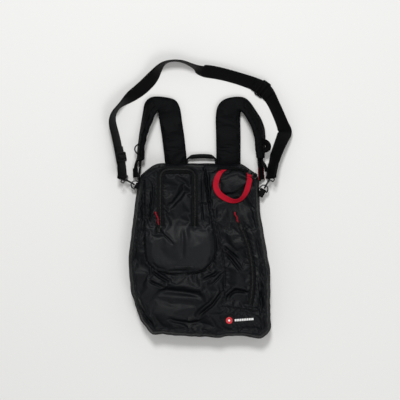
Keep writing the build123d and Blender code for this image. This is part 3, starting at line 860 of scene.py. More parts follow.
def thick_patch(name, points, normals, faces, thickness, material):
    """Cloth with an inner and an outer side and a rim; the outer side keeps the given normals."""
    count = len(points)
    inner = points - normals * thickness
    edges = {}
    for face in faces:
        for a, b in zip(face, np.roll(face, -1)):
            if (b, a) in edges:
                del edges[(b, a)]
            else:
                edges[(a, b)] = True
    rim = [(b, a, a + count, b + count) for a, b in edges]
    quads = np.vstack([faces, faces[:, ::-1] + count, np.array(rim)])
    obj = finish_mesh(name, np.vstack([points, inner]), quads, material)
    loops = np.zeros(len(obj.data.loops), int)
    obj.data.loops.foreach_get("vertex_index", loops)
    flat_normals = np.repeat(np.array([p.normal for p in obj.data.polygons]), 4, axis=0)
    custom = np.where((loops < count)[:, None], normals[loops % count], -normals[loops % count])
    custom[8 * len(faces):] = flat_normals[8 * len(faces):]
    obj.data.normals_split_custom_set([tuple(n) for n in custom])
    return obj


def inside_pocket(x, y):
    """True on the pocket's own cloth, inside its curved seam and below the opening."""
    return (within_pocket(x, y) > 0) & (y < FLAP_LOW.y)


SHELL_CLOTH = 1.2 * MM
FLAP_SLIT = 0.4 * MM
# Faces steeper than this and lower than this height take the duller nylon: painted shade on the bag's sides
SIDE_STEEPNESS, SIDE_TOP = 0.6, 50 * MM
LINING_GRID, LINING_THICK = (71, 91), 8 * MM


def make_front():
    """Splits the front into the shell and the flap, which meet at the flap's foot as one cloth."""
    points = SURFACE.reshape(-1, 3)
    normals = vertex_normals(points, SURFACE_FACES)
    centre = points[SURFACE_FACES].mean(axis=1)
    inner = inside_flap(centre[:, 0], centre[:, 1])
    rim = np.intersect1d(SURFACE_FACES[inner], SURFACE_FACES[~inner])
    foot = np.linspace((FLAP_HIGH.x, FLAP_LOW.y), (FLAP_LOW.x, FLAP_LOW.y), 100)
    for name, keep, shift in (("bag_shell", ~inner, -FLAP_SLIT), ("bag_flap", inner, FLAP_SLIT)):
        moved = points.copy()
        border = np.vstack([arch_line(shift, 400), foot])
        for k in rim:
            moved[k, :2] = border[np.argmin(np.hypot(*(border - points[k, :2]).T))]
        used = np.unique(SURFACE_FACES[keep])
        number = np.full(len(points), -1)
        number[used] = np.arange(len(used))
        cloth = thick_patch(name, moved[used], normals[used], number[SURFACE_FACES[keep]], SHELL_CLOTH, NYLON)
        if name == "bag_shell":
            cloth.data.materials.append(NYLON_POCKET)
            cloth.data.materials.append(NYLON_SIDE_SHADE)
            middle = points[SURFACE_FACES[keep]].mean(axis=1)
            upright = normals[SURFACE_FACES[keep]].mean(axis=1)[:, 2]
            lot = np.zeros(len(cloth.data.polygons), int)
            lot[:len(middle)] = inside_pocket(middle[:, 0], middle[:, 1])
            # Steep faces low on the sides take the duller copy of the nylon: painted shade
            lot[:len(middle)][(upright < SIDE_STEEPNESS) & (middle[:, 2] < SIDE_TOP)] = 2
            cloth.data.polygons.foreach_set("material_index", lot)
            place(cloth, "root", "shell_nylon", "main_shell", "front_pocket")
        else:
            place(cloth, "flap", "shell_nylon", "front_flap")


def make_lining():
    """The lining over the foam, seen when the flap is open."""
    xy = coons_grid(*LINING_GRID)
    centre = xy.mean(axis=(0, 1))
    xy = centre + (xy - centre) * 0.93
    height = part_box("back_foam")[1].z + 1.5 * MM * fractal(xy[..., 0], xy[..., 1], 0.04, 21, 3)
    top = np.dstack([xy, height]).reshape(-1, 3)
    faces = np.array(grid_faces(*LINING_GRID))
    lining = thick_patch("inner_lining", top, vertex_normals(top, faces), faces, LINING_THICK, LINING)
    place(lining, "root", "foam", "back_foam")


# Sewn channels up the back, the deepest hollow in its outer side, and the height of its inner side
CHANNELS = [-0.105, -0.035, 0.035, 0.105]
BACK_HOLLOW, BACK_TOP = 4.4 * MM, 5.8 * MM
PIPING_HEIGHT = 4.6 * MM


def make_back():
    """Padded back panel: a closed form, flat where it rests, with sewn channels up its back."""
    count_u, count_v = 141, 176
    xy = coons_grid(count_u, count_v)
    x, y = xy[..., 0], xy[..., 1]
    inside, _ = line_distance(x, y, closed_line(OUTLINE, 4))
    rounding = 1 - smoothstep(inside / (11 * MM))
    low = 4.2 * MM * rounding ** 2
    for channel in CHANNELS:
        within = smoothstep((y + 0.19) / 0.02) * smoothstep((0.185 - y) / 0.02)
        low += 2.4 * MM * within * np.exp(-((x - channel) / (2.2 * MM)) ** 2)
    low = np.minimum(low, BACK_HOLLOW)
    bottom, top = (np.dstack([xy, z]).reshape(-1, 3) for z in (low, np.full(x.shape, BACK_TOP)))
    faces = np.array(grid_faces(count_u, count_v))
    index = np.arange(count_u * count_v).reshape(count_u, count_v)
    ring = np.concatenate([index[:, 0], index[-1, 1:], index[-2::-1, -1], index[0, -2:0:-1]])
    following = np.roll(ring, -1)
    wall = np.stack([ring, following, following + len(bottom), ring + len(bottom)], axis=1)
    quads = np.vstack([faces[:, ::-1], faces + len(bottom), wall])
    panel = finish_mesh("back_padding", np.vstack([bottom, top]), quads, MESH)
    place(panel, "root", "back_mesh", "back_panel")


def make_binding():
    """Corded binding sewn round the edge."""
    ring = np.column_stack([OUTLINE, np.full(len(OUTLINE), PIPING_HEIGHT)])
    wobble = fractal(OUTLINE[:, 0], OUTLINE[:, 1], 0.02, 31, 2)
    cord = tube("edge_binding", ring, (2.1 + 0.25 * wobble) * MM, BINDING, closed=True, sides=12)
    place(cord, "root", "binding", "edge_piping")


STITCH = 3.2 * MM
STITCH_GAP = 1.4 * MM
THREAD_RADIUS = 0.38 * MM


def stitch_mesh(name, lines):
    """Rows of sewing stitches along lines of points: each one a short thread, sunk at its ends."""
    vertices, faces = [], []
    turn = np.linspace(0, 2 * pi, 6, endpoint=False)
    for line in lines:
        lengths = arc_lengths(line)
        start = 0.0
        while start + STITCH < lengths[-1]:
            points = at_lengths(line, lengths, start + STITCH * np.linspace(0, 1, 5))
            _, side, rise = frames_up(points)
            swell = THREAD_RADIUS * np.array([0.35, 0.9, 1.0, 0.9, 0.35])[:, None, None]
            sink = THREAD_RADIUS * np.array([-0.9, 0.1, 0.4, 0.1, -0.9])[:, None]
            body = (points + rise * sink)[:, None] + around(side, rise, turn) * swell
            first = len(vertices)
            faces += grid_faces(5, 6, wrap_v=True, start=first)
            faces.append(tuple(first + k for k in reversed(range(6))))
            faces.append(tuple(first + 24 + k for k in range(6)))
            vertices += list(body.reshape(-1, 3))
            start += STITCH + STITCH_GAP
    return finish_mesh(name, vertices, faces, THREAD)


def sew(name, rows, body="root"):
    place(stitch_mesh(name, rows), body, "binding")


def sewn_pair(line, apart, lift):
    """Two lines of stitches on the front, either side of a line; apart and lift are in millimetres."""
    return [on_surface(offset_line(line, side * apart * MM), lift * MM) for side in (-1, 1)]


# ------------------------------------------------------------------ bands, zips, pulls and badge on the front

STRIP_SUNK = 0.8 * MM


def laid_strip(name, side_a, side_b, lift, thick, material, across=7, crown=0.0):
    """A band of cloth on the bag's front between two lines seen from above, with rounded edges."""
    share = np.linspace(0, 1, across)
    rounding = (1 - (2 * share - 1) ** 6) ** 0.5
    top, low = [], []
    for s, high in zip(share, rounding):
        base = on_surface(side_a * (1 - s) + side_b * s)
        top.append(base + (0, 0, lift + thick * (0.4 + 0.6 * high) + crown * sin(pi * s)))
        low.append(base + (0, 0, lift - STRIP_SUNK))
    grid = np.stack([*top, *low[::-1]], axis=1)
    obj = grid_mesh(name, grid, material, wrap_v=True, caps=True)
    add_uv(obj, arc_lengths((side_a + side_b) / 2), there_and_back(share))
    return obj


# The zips: half the gap between the tapes, the tapes' far edges, each half's coil, and the storm strip
TAPE_NEAR, TAPE_LIFT, TAPE_THICK = 1.4 * MM, 0.1 * MM, 0.8 * MM
FLAP_TAPE_FAR, SIDE_TAPE_FAR = 8.5 * MM, 6.5 * MM
COIL_ASIDE, COIL_LIFT, COIL_WIDTH, COIL_HEIGHT = 1.0 * MM, 0.5 * MM, 2.0 * MM, 1.2 * MM
COIL_PITCH, COIL_RADIUS, COIL_STEPS = 1.5 * MM, 0.42 * MM, 8
STRIP_EDGES, STRIP_SWAY = (7 * MM, 21 * MM), 1.2 * MM
STRIP_LIFT, STRIP_THICK, STRIP_CROWN = 0.6 * MM, 1.8 * MM, 1.6 * MM


def coil(name, line):
    """Half of a nylon zip: a flattened helix along a line on the bag's front."""
    base = resample(on_surface(line, COIL_LIFT), 400)
    count = int(arc_lengths(base)[-1] / COIL_PITCH) * COIL_STEPS
    points = resample(base, count)
    _, side, rise = frames_up(points)
    angle = np.arange(count) * 2 * pi / COIL_STEPS
    helix = (points + side * (np.cos(angle) * COIL_WIDTH / 2)[:, None]
             + rise * (COIL_HEIGHT / 2 + np.sin(angle) * COIL_HEIGHT / 2)[:, None])
    return tube(name, helix, COIL_RADIUS, COIL, sides=5)


def make_flap_zip():
    """Zip round the flap: tape and coil on the shell, tape and coil on the flap."""
    halves = (("shell", "root", -1), ("flap", "flap", 1))
    for name, body, side in halves:
        edges = arch_line(side * TAPE_NEAR), arch_line(side * FLAP_TAPE_FAR)
        place(laid_strip(f"{name}_zip_tape", *edges[::side], TAPE_LIFT, TAPE_THICK, TAPE), body, "binding")
    for name, body, side in halves:
        place(coil(f"{name}_coil", arch_line(side * COIL_ASIDE)), body, "zip_coil", f"{name}_zip_coil")
    for name, body, side in halves:
        rows = [on_surface(arch_line(side * off * MM), lift * MM) for off, lift in ((6.6, 1.0), (11, 0.1))]
        sew(f"{name}_zip_stitches", rows, body)
        if name == "shell":
            make_zip_guard()


def make_zip_guard():
    """Small plastic guard over the zip's end, at the arch's corner."""
    spot = (FLAP_LOW.x - 3 * MM, FLAP_HIGH.y + 5 * MM)
    guard = plate("zip_end_guard", rounded(9, 6, 1.5), [], 1.8, 0.6, PLASTIC)
    place(put(guard, (*spot, on_surface([spot], 1.0 * MM)[0][2]), 60), "root", "buckle_plastic")


def make_side_zip():
    """Curved zip of the side pocket, its tapes, and the storm strip beside it."""
    for side, name in ((-1, "inner"), (1, "outer")):
        edges = side_arc(side * TAPE_NEAR), side_arc(side * SIDE_TAPE_FAR)
        tape = laid_strip(f"side_zip_tape_{name}", *edges[::side], TAPE_LIFT, TAPE_THICK, TAPE)
        place(tape, "root", "binding")
    halves = [coil("side_coil", side_arc(side * COIL_ASIDE)) for side in (-1, 1)]
    place(join("side_coil", halves), "root", "zip_coil", "side_zip_coil")
    turn = (SIDE_ZIP_TURN[0] - 2, SIDE_ZIP_TURN[1] - 1)
    sway = np.sin(np.linspace(0, 9, 90))[:, None] * STRIP_SWAY
    near, far = (side_arc(offset, turn=turn) for offset in STRIP_EDGES)
    strip = laid_strip("storm_strip", near, far + sway, STRIP_LIFT, STRIP_THICK, NYLON_FLAT, across=13,
                       crown=STRIP_CROWN)
    place(strip, "root", "shell_nylon", "zip_shield")
    rows = [on_surface(side_arc(off * MM), lift * MM) for off, lift in ((-5, 0.9), (-9, 0.1), (23.5, 0.2))]
    sew("side_zip_stitches", rows)


def make_bands():
    """Sewn bands at the top of the opening and at the foot of the front pocket, and the seams' stitches."""
    for name, body, seam, half, cloth in (("top", "flap", TOP_SEAM, 6 * MM, BINDING),
                                          ("pocket", "root", BAND_SEAM, 5 * MM, NYLON_POCKET)):
        edges = (offset_line(seam, side * half) for side in (1, -1))
        band = laid_strip(f"{name}_band", *edges, 0, 1.0 * MM, cloth)
        rows = sewn_pair(seam, 3.2, 0.6)
        place(band, body, "binding")
        sew(f"{name}_band_stitches", rows, body)
    sew("shell_stitches", [row for seam in SEAMS for row in sewn_pair(seam, 2.6, 0.1)])


def plate(name, outer, holes, thick, bevel, material):
    """Flat moulded plate with rounded edges, centred on z = 0; its sizes are in millimetres."""
    curve = bpy.data.curves.new(name, "CURVE")
    curve.dimensions = "2D"
    curve.fill_mode = "BOTH"
    curve.extrude = (thick / 2 - bevel) * MM
    curve.bevel_depth = bevel * MM
    curve.bevel_resolution = 2
    curve.offset = -bevel * MM
    for line in (outer, *holes):
        spline = curve.splines.new("POLY")
        spline.points.add(len(line) - 1)
        for point, (x, y) in zip(spline.points, line):
            point.co = (x * MM, y * MM, 0, 1)
        spline.use_cyclic_u = True
    mesh = curve_mesh(curve)
    mesh.materials.clear()
    mesh.materials.append(material)
    return link(bpy.data.objects.new(name, mesh))


def rounded(length, width, radius, centre=(0, 0), steps=6):
    """Outline of a rounded rectangle."""
    points = []
    for k, (sx, sy) in enumerate(((1, 1), (-1, 1), (-1, -1), (1, -1))):
        for t in np.linspace(0, pi / 2, steps):
            points.append((centre[0] + sx * (length / 2 - radius) + radius * cos(t + k * pi / 2),
                           centre[1] + sy * (width / 2 - radius) + radius * sin(t + k * pi / 2)))
    return points


def put(obj, spot, heading=0.0, tilt=None):
    """Moves a piece's mesh from its own frame to its place."""
    matrix = Matrix.Translation(spot) @ Matrix.Rotation(radians(heading), 4, "Z")
    if tilt is not None:
        matrix = matrix @ tilt
    obj.data.transform(matrix)
    return obj


def disc(radius, steps=48):
    """Outline of a circle."""
    return [(radius * cos(t), radius * sin(t)) for t in np.linspace(0, 2 * pi, steps, endpoint=False)]


def superellipse(width, height, power=3.0, sides=20):
    turn = np.linspace(0, 2 * pi, sides, endpoint=False)
    c, s = np.cos(turn), np.sin(turn)
    return np.stack([np.sign(c) * np.abs(c) ** (2 / power) * width / 2,
                     np.sign(s) * np.abs(s) ** (2 / power) * height / 2], axis=1)


def rounded_block(name, stations, material):
    """Body lofted along X through rounded sections in millimetres: (x, width, height, middle height)."""
    grid = []
    for x, width, height, middle in stations:
        section = superellipse(width, height)
        grid.append(np.column_stack([np.full(len(section), x), section[:, 0], section[:, 1] + middle]))
    return grid_mesh(name, np.array(grid) * MM, material, wrap_v=True, caps=True)


# The sliders' heights above the floor, in millimetres, and the pull cord's place and waves along the pull
SLIDER_MIDDLE, BRIDGE_MIDDLE, PULL_HEIGHT = 61.1, 62, 64.0
PULL_HOLE = 12.8
CORD_TURNS, CORD_WAVES = 2.5, 1.5
SLIDER_SECTIONS = [(-6.2, 4.5, 1.2), (-5.8, 6.0, 2.2), (-3, 6.6, 2.6), (0, 7.0, 2.7), (3.5, 8.2, 2.6),
                   (5.4, 7.6, 2.2), (6.0, 5.6, 1.2)]
TAB_OUTLINE = [(4.2, -1.6), (6.5, -2.6), (13.5, -2.6), (15.6, -1.6),
               (15.6, 1.6), (13.5, 2.6), (6.5, 2.6), (4.2, 1.6)]
KNOT_SECTIONS = [(-4.6, 2.2), (-3.9, 3.6), (-2.2, 4.2), (-0.4, 3.6), (0.5, 2.0)]


def make_slider(side, spot, heading, end, lean):
    """Zip slider with its bridge, the moulded pull on the bridge, and the pull's knotted cord."""
    block = rounded_block("slider", [(*section, SLIDER_MIDDLE) for section in SLIDER_SECTIONS], METAL)
    turn = np.linspace(0, pi, 14)
    bridge = np.stack([-1 + 4.2 * np.cos(turn), 0 * turn, BRIDGE_MIDDLE + 3.6 * np.sin(turn)], axis=1) * MM
    arch = tube("bridge", bridge, 0.75 * MM, METAL, sides=8, up=(0, 1, 0))
    body = put(join(f"{side}_slider_body", [block, arch]), (*spot, 0), heading)
    place(body, f"{side}_slider", "zip_metal", f"{side}_zip_slider")
    ring = np.linspace(0, 2 * pi, 24, endpoint=False)
    eye = np.stack([2.6 + 2.4 * np.cos(ring), 2.0 * np.sin(ring), np.full(24, PULL_HEIGHT)], axis=1) * MM
    loop = tube("eye", eye, 0.65 * MM, METAL, closed=True, sides=8)
    tab = plate("tab", TAB_OUTLINE, [rounded(3.4, 2.0, 0.9, (PULL_HOLE, 0))], 2.0, 0.5, PLASTIC)
    tab.data.transform(Matrix.Translation((0, 0, PULL_HEIGHT * MM)))
    pull = put(join(f"{side}_pull_tab", [loop, tab]), (*spot, 0), heading)
    place(pull, f"{side}_pull", "zip_metal", f"{side}_zip_pull")
    strands = []
    for sign in (-1, 1):
        share = np.linspace(0, 1, 70)
        turn, sway = share * 2 * pi * CORD_TURNS, share * 2 * pi * CORD_WAVES
        y = sign * 0.9 * np.cos(turn) + np.sin(sway) * 0.9 + lean * share ** 1.4
        z = PULL_HEIGHT + sign * 0.8 * np.sin(turn)
        strand = np.stack([PULL_HOLE + share * (end - PULL_HOLE), y, z], axis=1)
        strands.append(tube("strand", strand * MM, 0.95 * MM, RED_CORD, sides=8))
    knot = rounded_block("knot", [(end + x, w, w, PULL_HEIGHT) for x, w in KNOT_SECTIONS], RED_CORD)
    knot.data.transform(Matrix.Translation((0, lean * MM, 0)))
    cord = put(join(f"{side}_red_cord", [*strands, knot]), (*spot, 0), heading)
    place(cord, f"{side}_pull", "red_cord", f"{side}_pull_cord")


BADGE_SHIFT = Vector((0.001, 0.003))
BADGE_BLOCKS, BLOCK_WIDTH, BLOCK_HEIGHT, BLOCK_GAP = 11, 3.25, 5.6, 1.15
BADGE_LENGTH, BADGE_TURN = 48, 4


def make_badge():
    """A plain label: a red disc with a white dot, and a row of equal blank white blocks."""
    (low, high), (bar_low, bar_high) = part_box("badge_disc"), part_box("badge_bar")
    centre, middle = (((a + b) / 2).xy + BADGE_SHIFT for a, b in ((low, high), (bar_low, bar_high)))
    height = on_surface([centre], 0)[0][2]
    radius = (high.x - low.x) / 2 / MM
    button = plate("badge_button", disc(radius), [], 1.8, 0.5, BADGE_RED)
    place(put(button, (*centre, height + 0.9 * MM)), "root", "badge_red", "badge_disc")
    dot = plate("badge_dot", disc(radius * 0.3), [], 0.8, 0.2, BADGE_WHITE)
    place(put(dot, (*centre, height + 1.9 * MM)), "root", "badge_white")
    starts = [k * (BLOCK_WIDTH + BLOCK_GAP) - BADGE_LENGTH / 2 for k in range(BADGE_BLOCKS)]
    outlines = [rounded(BLOCK_WIDTH, BLOCK_HEIGHT, 1.0, (at + BLOCK_WIDTH / 2, 0)) for at in starts]
    row = join("badge_row", [plate("block", outline, [], 1.2, 0.3, BADGE_WHITE) for outline in outlines])
    put(row, (*middle, on_surface([middle], 0)[0][2] + 0.9 * MM), BADGE_TURN)
    place(row, "root", "badge_white", "badge_bar")


# ------------------------------------------------------------------ red loop

LOOP_ROUTE = [
    (72, 206.5), (64, 205), (54, 198), (45, 183), (41, 161), (50, 143), (67, 131), (90, 123),
    (107, 130), (119, 147), (125, 168), (129, 186), (123, 199),
]
LOOP_SEAM = spine([(46, 207), (70, 208.5), (100, 206.5), (128, 199)], 50)
LOOP_WIDTH = 15 * MM
LOOP_LIFT = 2.2 * MM
LOOP_LEAN = 22
LOOP_BAND, LOOP_BAND_THICK = 8 * MM, 4 * MM
LOOP_WIDTHS = [0, 0.05, 0.1, 0.2, 0.45, 0.6, 0.8, 0.93, 1], [5, 8, 12, 15, 15, 13.5, 15, 13, 7]
LOOP_ROLLS = [0, 0.1, 0.2, 0.4, 0.5, 0.58, 0.66, 0.75, 0.85, 1], [0, 8, 18, 12, 26, 50, 50, 30, 20, 0]


def make_red_loop():
    """Flat red webbing loop lying on the front, sewn into the top seam."""
    route = [Vector((x, y, 0)) * MM for x, y in LOOP_ROUTE]
    flat = spline_points(route, 130)[:, :2]
    points = on_surface(flat) + (0, 0, 0.2 * MM)
    share = np.linspace(0, 1, 130)
    loose = smoothstep((share - 0.06) / 0.14) * smoothstep((0.94 - share) / 0.14)
    level = smoothed(points[:, 2], 8) + LOOP_LIFT
    rise = [on_surface(offset_line(flat, edge * 3 * MM))[:, 2] for edge in (1, -1)]
    lean = np.clip(np.degrees(np.arctan2(rise[0] - rise[1], 6 * MM)), -LOOP_LEAN, LOOP_LEAN)
    rolls = smoothed(np.interp(share, *LOOP_ROLLS), 4)
    points[:, 2] += (level - points[:, 2]) * loose + LOOP_WIDTH / 2 * np.sin(np.radians(rolls)) * loose
    rolls += lean * (1 - loose)
    width = np.interp(share, *LOOP_WIDTHS) * MM
    band = ribbon("red_loop_band", points, width, 2.0 * MM, RED_WEBBING, rolls, cup=-0.8 * MM, across=13)
    place(band, "root", "red_webbing", "red_loop")
    edges = (offset_line(LOOP_SEAM, side * LOOP_BAND / 2) for side in (1, -1))
    cover = laid_strip("loop_band", *edges, 0, LOOP_BAND_THICK, BINDING)
    rows = [row + (0, 0, LOOP_BAND_THICK + 0.1 * MM) for row in sewn_pair(LOOP_SEAM, 2.4, 0)]
    place(cover, "root", "binding")
    sew("loop_stitches", rows)


# ------------------------------------------------------------------ shoulder straps

# Stations along each padded strap from its base, in millimetres: its inner edge, then its outer edge
PAD_STATIONS = {
    "left": [
        ((-83, 212, 9), (-34, 212, 9)), ((-86, 240, 9), (-34.5, 240, 9)), ((-92, 290, 9), (-40, 290, 9)),
        ((-98, 328, 9), (-46, 330, 9)), ((-101, 345, 11), (-50, 361, 9)), ((-102, 352, 15), (-60, 382, 8)),
        ((-104, 355, 20), (-92, 388, 8)), ((-107, 353, 25), (-121, 389, 8)),
        ((-111, 347, 29), (-136, 376, 8)), ((-116, 336, 32), (-140, 350, 8)),
        ((-125, 316, 35), (-145, 320, 8)), ((-134, 291, 36), (-150, 290, 8)),
        ((-140, 262, 34), (-153, 260, 8)), ((-142, 230, 28), (-154, 229, 8)),
    ],
    "right": [
        ((103, 212, 9), (46, 212, 9)), ((103, 250, 9), (46.5, 250, 9)), ((103, 300, 9), (45.5, 300, 9)),
        ((102, 332, 9), (44.5, 335, 9)), ((103, 345, 11), (47, 362, 9)), ((104, 352, 15), (60, 381, 8)),
        ((107, 354, 20), (86, 388, 8)), ((111, 352, 25), (114, 388, 8)), ((116, 345, 29), (129, 374, 8)),
        ((124, 333, 32), (142, 354, 8)), ((135, 311, 35), (156, 333, 8)), ((142, 287, 36), (165, 308, 8)),
        ((144, 263, 34), (166, 276, 8)), ((148, 234, 30), (164, 236, 8)),
    ],
}
PAD_THICK = 13 * MM
WEB_START = 0.56
TACKS, TACK_HALF = (0.575, 0.68, 0.8, 0.93), 7 * MM
PAD_ROWS, PAD_COLUMNS = 120, 14
PAD_SPARE, PAD_MOVE = 0.04, 3.5 * MM
LOWER_LINES = {
    "left": [(-146, 240), (-149, 226), (-151, 202), (-154, 179)],
    "right": [(156, 243), (157, 226), (157, 202), (159, 179)],
}
LOWER_LEANS = {"left": 72, "right": -38}
LOWER_WIDTHS = {"left": (15, 15), "right": (15, 20)}
TAIL_LINES = {
    "left": [(-154, 238), (-158.5, 226), (-162, 208), (-161, 185)],
    "right": [(158, 226), (165, 221), (170, 211), (171, 199)],
}
TAIL_LEANS = {"left": 30, "right": -62}
TAIL_WIDTHS = {"left": (5, 15), "right": (15, 15)}
KEEPER_LINES = {
    "left": [(-150, 271), (-160, 266), (-164, 256), (-159, 246), (-151, 241)],
    "right": [(160, 279), (171, 277), (179, 266), (177, 254), (162, 250)],
}
LOCKS = {"left": (-150, 223), "right": (156, 223)}
LOCK_LEANS = {"left": 84, "right": 128}
LOCK_HEIGHTS = {"left": 11.5, "right": 12.5}
WEB_WIDTH = 15 * MM
STRAP_WEB, HEM_THICK, ANCHOR_THICK = 1.8 * MM, 3.6 * MM, 2.8 * MM
ANCHOR_LEANS = {"left": 76, "right": -76}
WEB_MIDDLE = 12.5 * MM


def pad_frames(points, roll):
    along, side, rise = frames_up(points)
    return along, *rolled(side, rise, roll)


def pad_edges(side):
    """Inner and outer edge lines of a padded strap, station by station."""
    inner, outer = (np.array([station[k] for station in PAD_STATIONS[side]]) for k in (0, 1))
    middle = arc_lengths((inner + outer) / 2)
    at = np.linspace(0, middle[-1], PAD_ROWS)
    lines = []
    for edge in (inner, outer):
        line = at_lengths(edge, middle, at)
        padded = np.pad(line, ((4, 4), (0, 0)), mode="reflect", reflect_type="odd")
        weight = np.hanning(11)[1:-1] / np.hanning(11).sum()
        columns = [np.convolve(column, weight, mode="valid") for column in padded.T]
        lines.append(np.stack(columns, axis=1) * MM)
    return lines


def make_pad(side):
    """Padded shoulder strap: a filled form that settles as cloth, its binding, seams and top webbing."""
    inner, outer = pad_edges(side)
    points = (inner + outer) / 2
    across = outer - inner
    rise = np.cross(tangents(points), across)
    rise *= np.sign(rise[:, 2:]) / np.linalg.norm(rise, axis=1)[:, None]
    s = np.sin(np.linspace(-pi / 2, pi / 2, PAD_COLUMNS))
    half = PAD_THICK / 2 * (0.16 + 0.84 * (1 - np.abs(s) ** 3.2) ** 0.6)
    section_side, section_rise = there_and_back(s), there_and_back(half, -1)
    grid = (points[:, None] + across[:, None] * section_side[None, :, None] / 2
            + rise[:, None] * section_rise[None, :, None])
    pin = np.zeros(grid.shape[:2])
    pin[:, [0, PAD_COLUMNS - 1, PAD_COLUMNS, -1]] = 1
    pin[[0, -1]] = 1
    grid = grid + settle(f"{side}_pad_trial", grid, pin, PAD_SPARE, pressure=1.5, frames=16, limit=PAD_MOVE,
                         wrap_v=True, bend=0.3)
    grid = refine(np.concatenate([grid, grid[:, :1]], axis=1), 2)[:, :-1]
    pad = grid_mesh(f"{side}_pad", grid, PAD, wrap_v=True, caps=True)
    columns = 2 * PAD_COLUMNS
    rim = np.vstack([grid[:, 0], grid[::-1, columns - 2]])
    binding = tube(f"{side}_pad_binding", resample(rim, 420), 2.5 * MM, BINDING, sides=10)
    rows = [grid[:, k] + np.repeat(rise, 2, axis=0)[:len(grid)] * 0.1 * MM for k in (4, columns - 6)]
    threads = stitch_mesh(f"{side}_pad_stitches", rows)
    level = across / np.linalg.norm(across, axis=1)[:, None]
    first = int(PAD_ROWS * WEB_START)
    line = points[first:] + rise[first:] * (PAD_THICK / 2 + 0.6 * MM)
    web = ribbon(f"{side}_pad_webbing", line, 16 * MM, 1.6 * MM, WEBBING, across=9, side=level[first:])
    bars = []
    for share in TACKS:
        k = int(share * PAD_ROWS)
        middle = points[k] + rise[k] * (PAD_THICK / 2 + 1.3 * MM)
        bar = np.array([middle + level[k] * t for t in np.linspace(-TACK_HALF, TACK_HALF, 12)])
        bars.append(tube("bar_tack", bar, 0.7 * MM, DARK_THREAD, sides=6, up=tuple(rise[k])))
    tacks = join(f"{side}_pad_tacks", bars)
    hinge = JOINTS[f"{side}_strap_lift"]
    across_hinge = Vector((-hinge["axis"][1], hinge["axis"][0], 0)).normalized()
    if across_hinge.y < 0:
        across_hinge.negate()
    slots = ("pad_fabric", "binding", "binding", "black_webbing", "binding")
    for obj, slot in zip((pad, binding, threads, web, tacks), slots):
        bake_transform(obj)
    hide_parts(f"{side}_strap_pad", f"{side}_strap_anchor")


def standing_band(name, line, widths, thick, lean, count=40):
    """Webbing leaning on its edge along a line seen from above; its width runs between the two given."""
    points = level_line(line, WEB_MIDDLE, count)
    width = np.linspace(*widths, count) * MM
    return ribbon(name, points, width, thick, WEBBING, lean, across=7), points, width


def band_edges(points, width, lean):
    """The two edge lines of a leaning band."""
    _, across, _ = pad_frames(points, np.full(len(points), lean))
    return [points + across * (sign * width / 2)[:, None] for sign in (-1, 1)]


def make_keeper(side):
    """Loop that keeps the pad's webbing: a thin cord on the left, a short band on its edge on the right."""
    points = level_line(KEEPER_LINES[side], 0, 60)
    points[:, 2] = (22 + 6 * np.sin(np.linspace(0, pi, 60))) * MM
    if side == "left":
        keeper = tube("left_keeper_cord", points, 1.7 * MM, BINDING, sides=10)
    else:
        outer = ribbon("right_keeper_band", points, 14 * MM, STRAP_WEB, WEBBING, 52, across=7)
        middle = points.mean(axis=0) - (4 * MM, 0, 0)
        points = middle + (points - middle) * 0.62
        inner = ribbon("right_keeper_fold", points, 12 * MM, STRAP_WEB, WEBBING, 40, across=7)
        keeper = join("right_keeper_band", [outer, inner])
    place(keeper, f"{side}_strap", "black_webbing")


def make_lower_strap(side):
    """Ladder lock on its edge, the webbing below it, its loose tail, and the anchor in the side seam."""
    lean, tail_lean = LOWER_LEANS[side], TAIL_LEANS[side]
    lower = LOWER_LINES[side]
    band, points, width = standing_band(f"{side}_lower_band", lower, LOWER_WIDTHS[side], STRAP_WEB, lean)
    place(band, f"{side}_strap", "black_webbing", f"{side}_lower_webbing")
    if side == "right":
        edges = band_edges(points, width, lean)
        piping = [tube("edge", edge[20:], 0.8 * MM, RED_CORD, sides=8) for edge in edges]
        place(join("right_lower_piping", piping), "right_strap", "red_cord")
    line, last = TAIL_LINES[side], TAIL_WIDTHS[side][1]
    tail, _, _ = standing_band(f"{side}_tail_band", line, TAIL_WIDTHS[side], STRAP_WEB, tail_lean)
    hem, _, _ = standing_band(f"{side}_tail_hem", line[-2:], (last * 0.96, last), HEM_THICK, tail_lean, 12)
    place(join(f"{side}_tail_band", [tail, hem]), f"{side}_strap", "black_webbing", f"{side}_webbing_tail")
    heading = degrees(atan2(lower[1][1] - lower[-1][1], lower[1][0] - lower[-1][0]))
    slots = [rounded(4.6, 13.4, 1, (x, 0)) for x in (-4.7, 4.7)]
    lock = plate(f"{side}_lock", rounded(22, 18.4, 3), slots, 4.6, 1.2, PLASTIC)
    lip = rounded_block("lip", [(x, 3, 2.6, 2.6) for x in (9.6, 10.4, 11.2)], PLASTIC)
    lip.data.transform(Matrix.Scale(5, 4, (0, 1, 0)))
    lock = join(f"{side}_lock", [lock, lip])
    stand = Matrix.Rotation(radians(LOCK_LEANS[side]), 4, "X")
    put(lock, (*(Vector(LOCKS[side]) * MM), LOCK_HEIGHTS[side] * MM), heading, stand)
    place(lock, f"{side}_strap", "buckle_plastic", f"{side}_ladder_lock")
    low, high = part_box(f"{side}_lower_anchor")
    middle = (low + high) / 2
    foot = Vector((lower[-1][0] * MM, lower[-1][1] * MM, middle.z))
    inward = (middle - foot).normalized()
    points = np.array([foot + inward * t for t in np.linspace(1.5 * MM, 18 * MM, 12)])
    lean = ANCHOR_LEANS[side]
    anchor = ribbon(f"{side}_lower_tab", points, WEB_WIDTH, ANCHOR_THICK, WEBBING, lean, across=7)
    place(anchor, "root", "black_webbing", f"{side}_lower_anchor")
    make_keeper(side)


HANDLE_LINE = [(-31, 212), (-31.5, 224), (-30.5, 232), (-20, 237.5), (5, 239.5), (30, 238.5), (42.5, 233),
               (43, 224), (42.5, 212)]
HANDLE_MIDDLE = 10.5 * MM
HANDLE_ROWS = 120


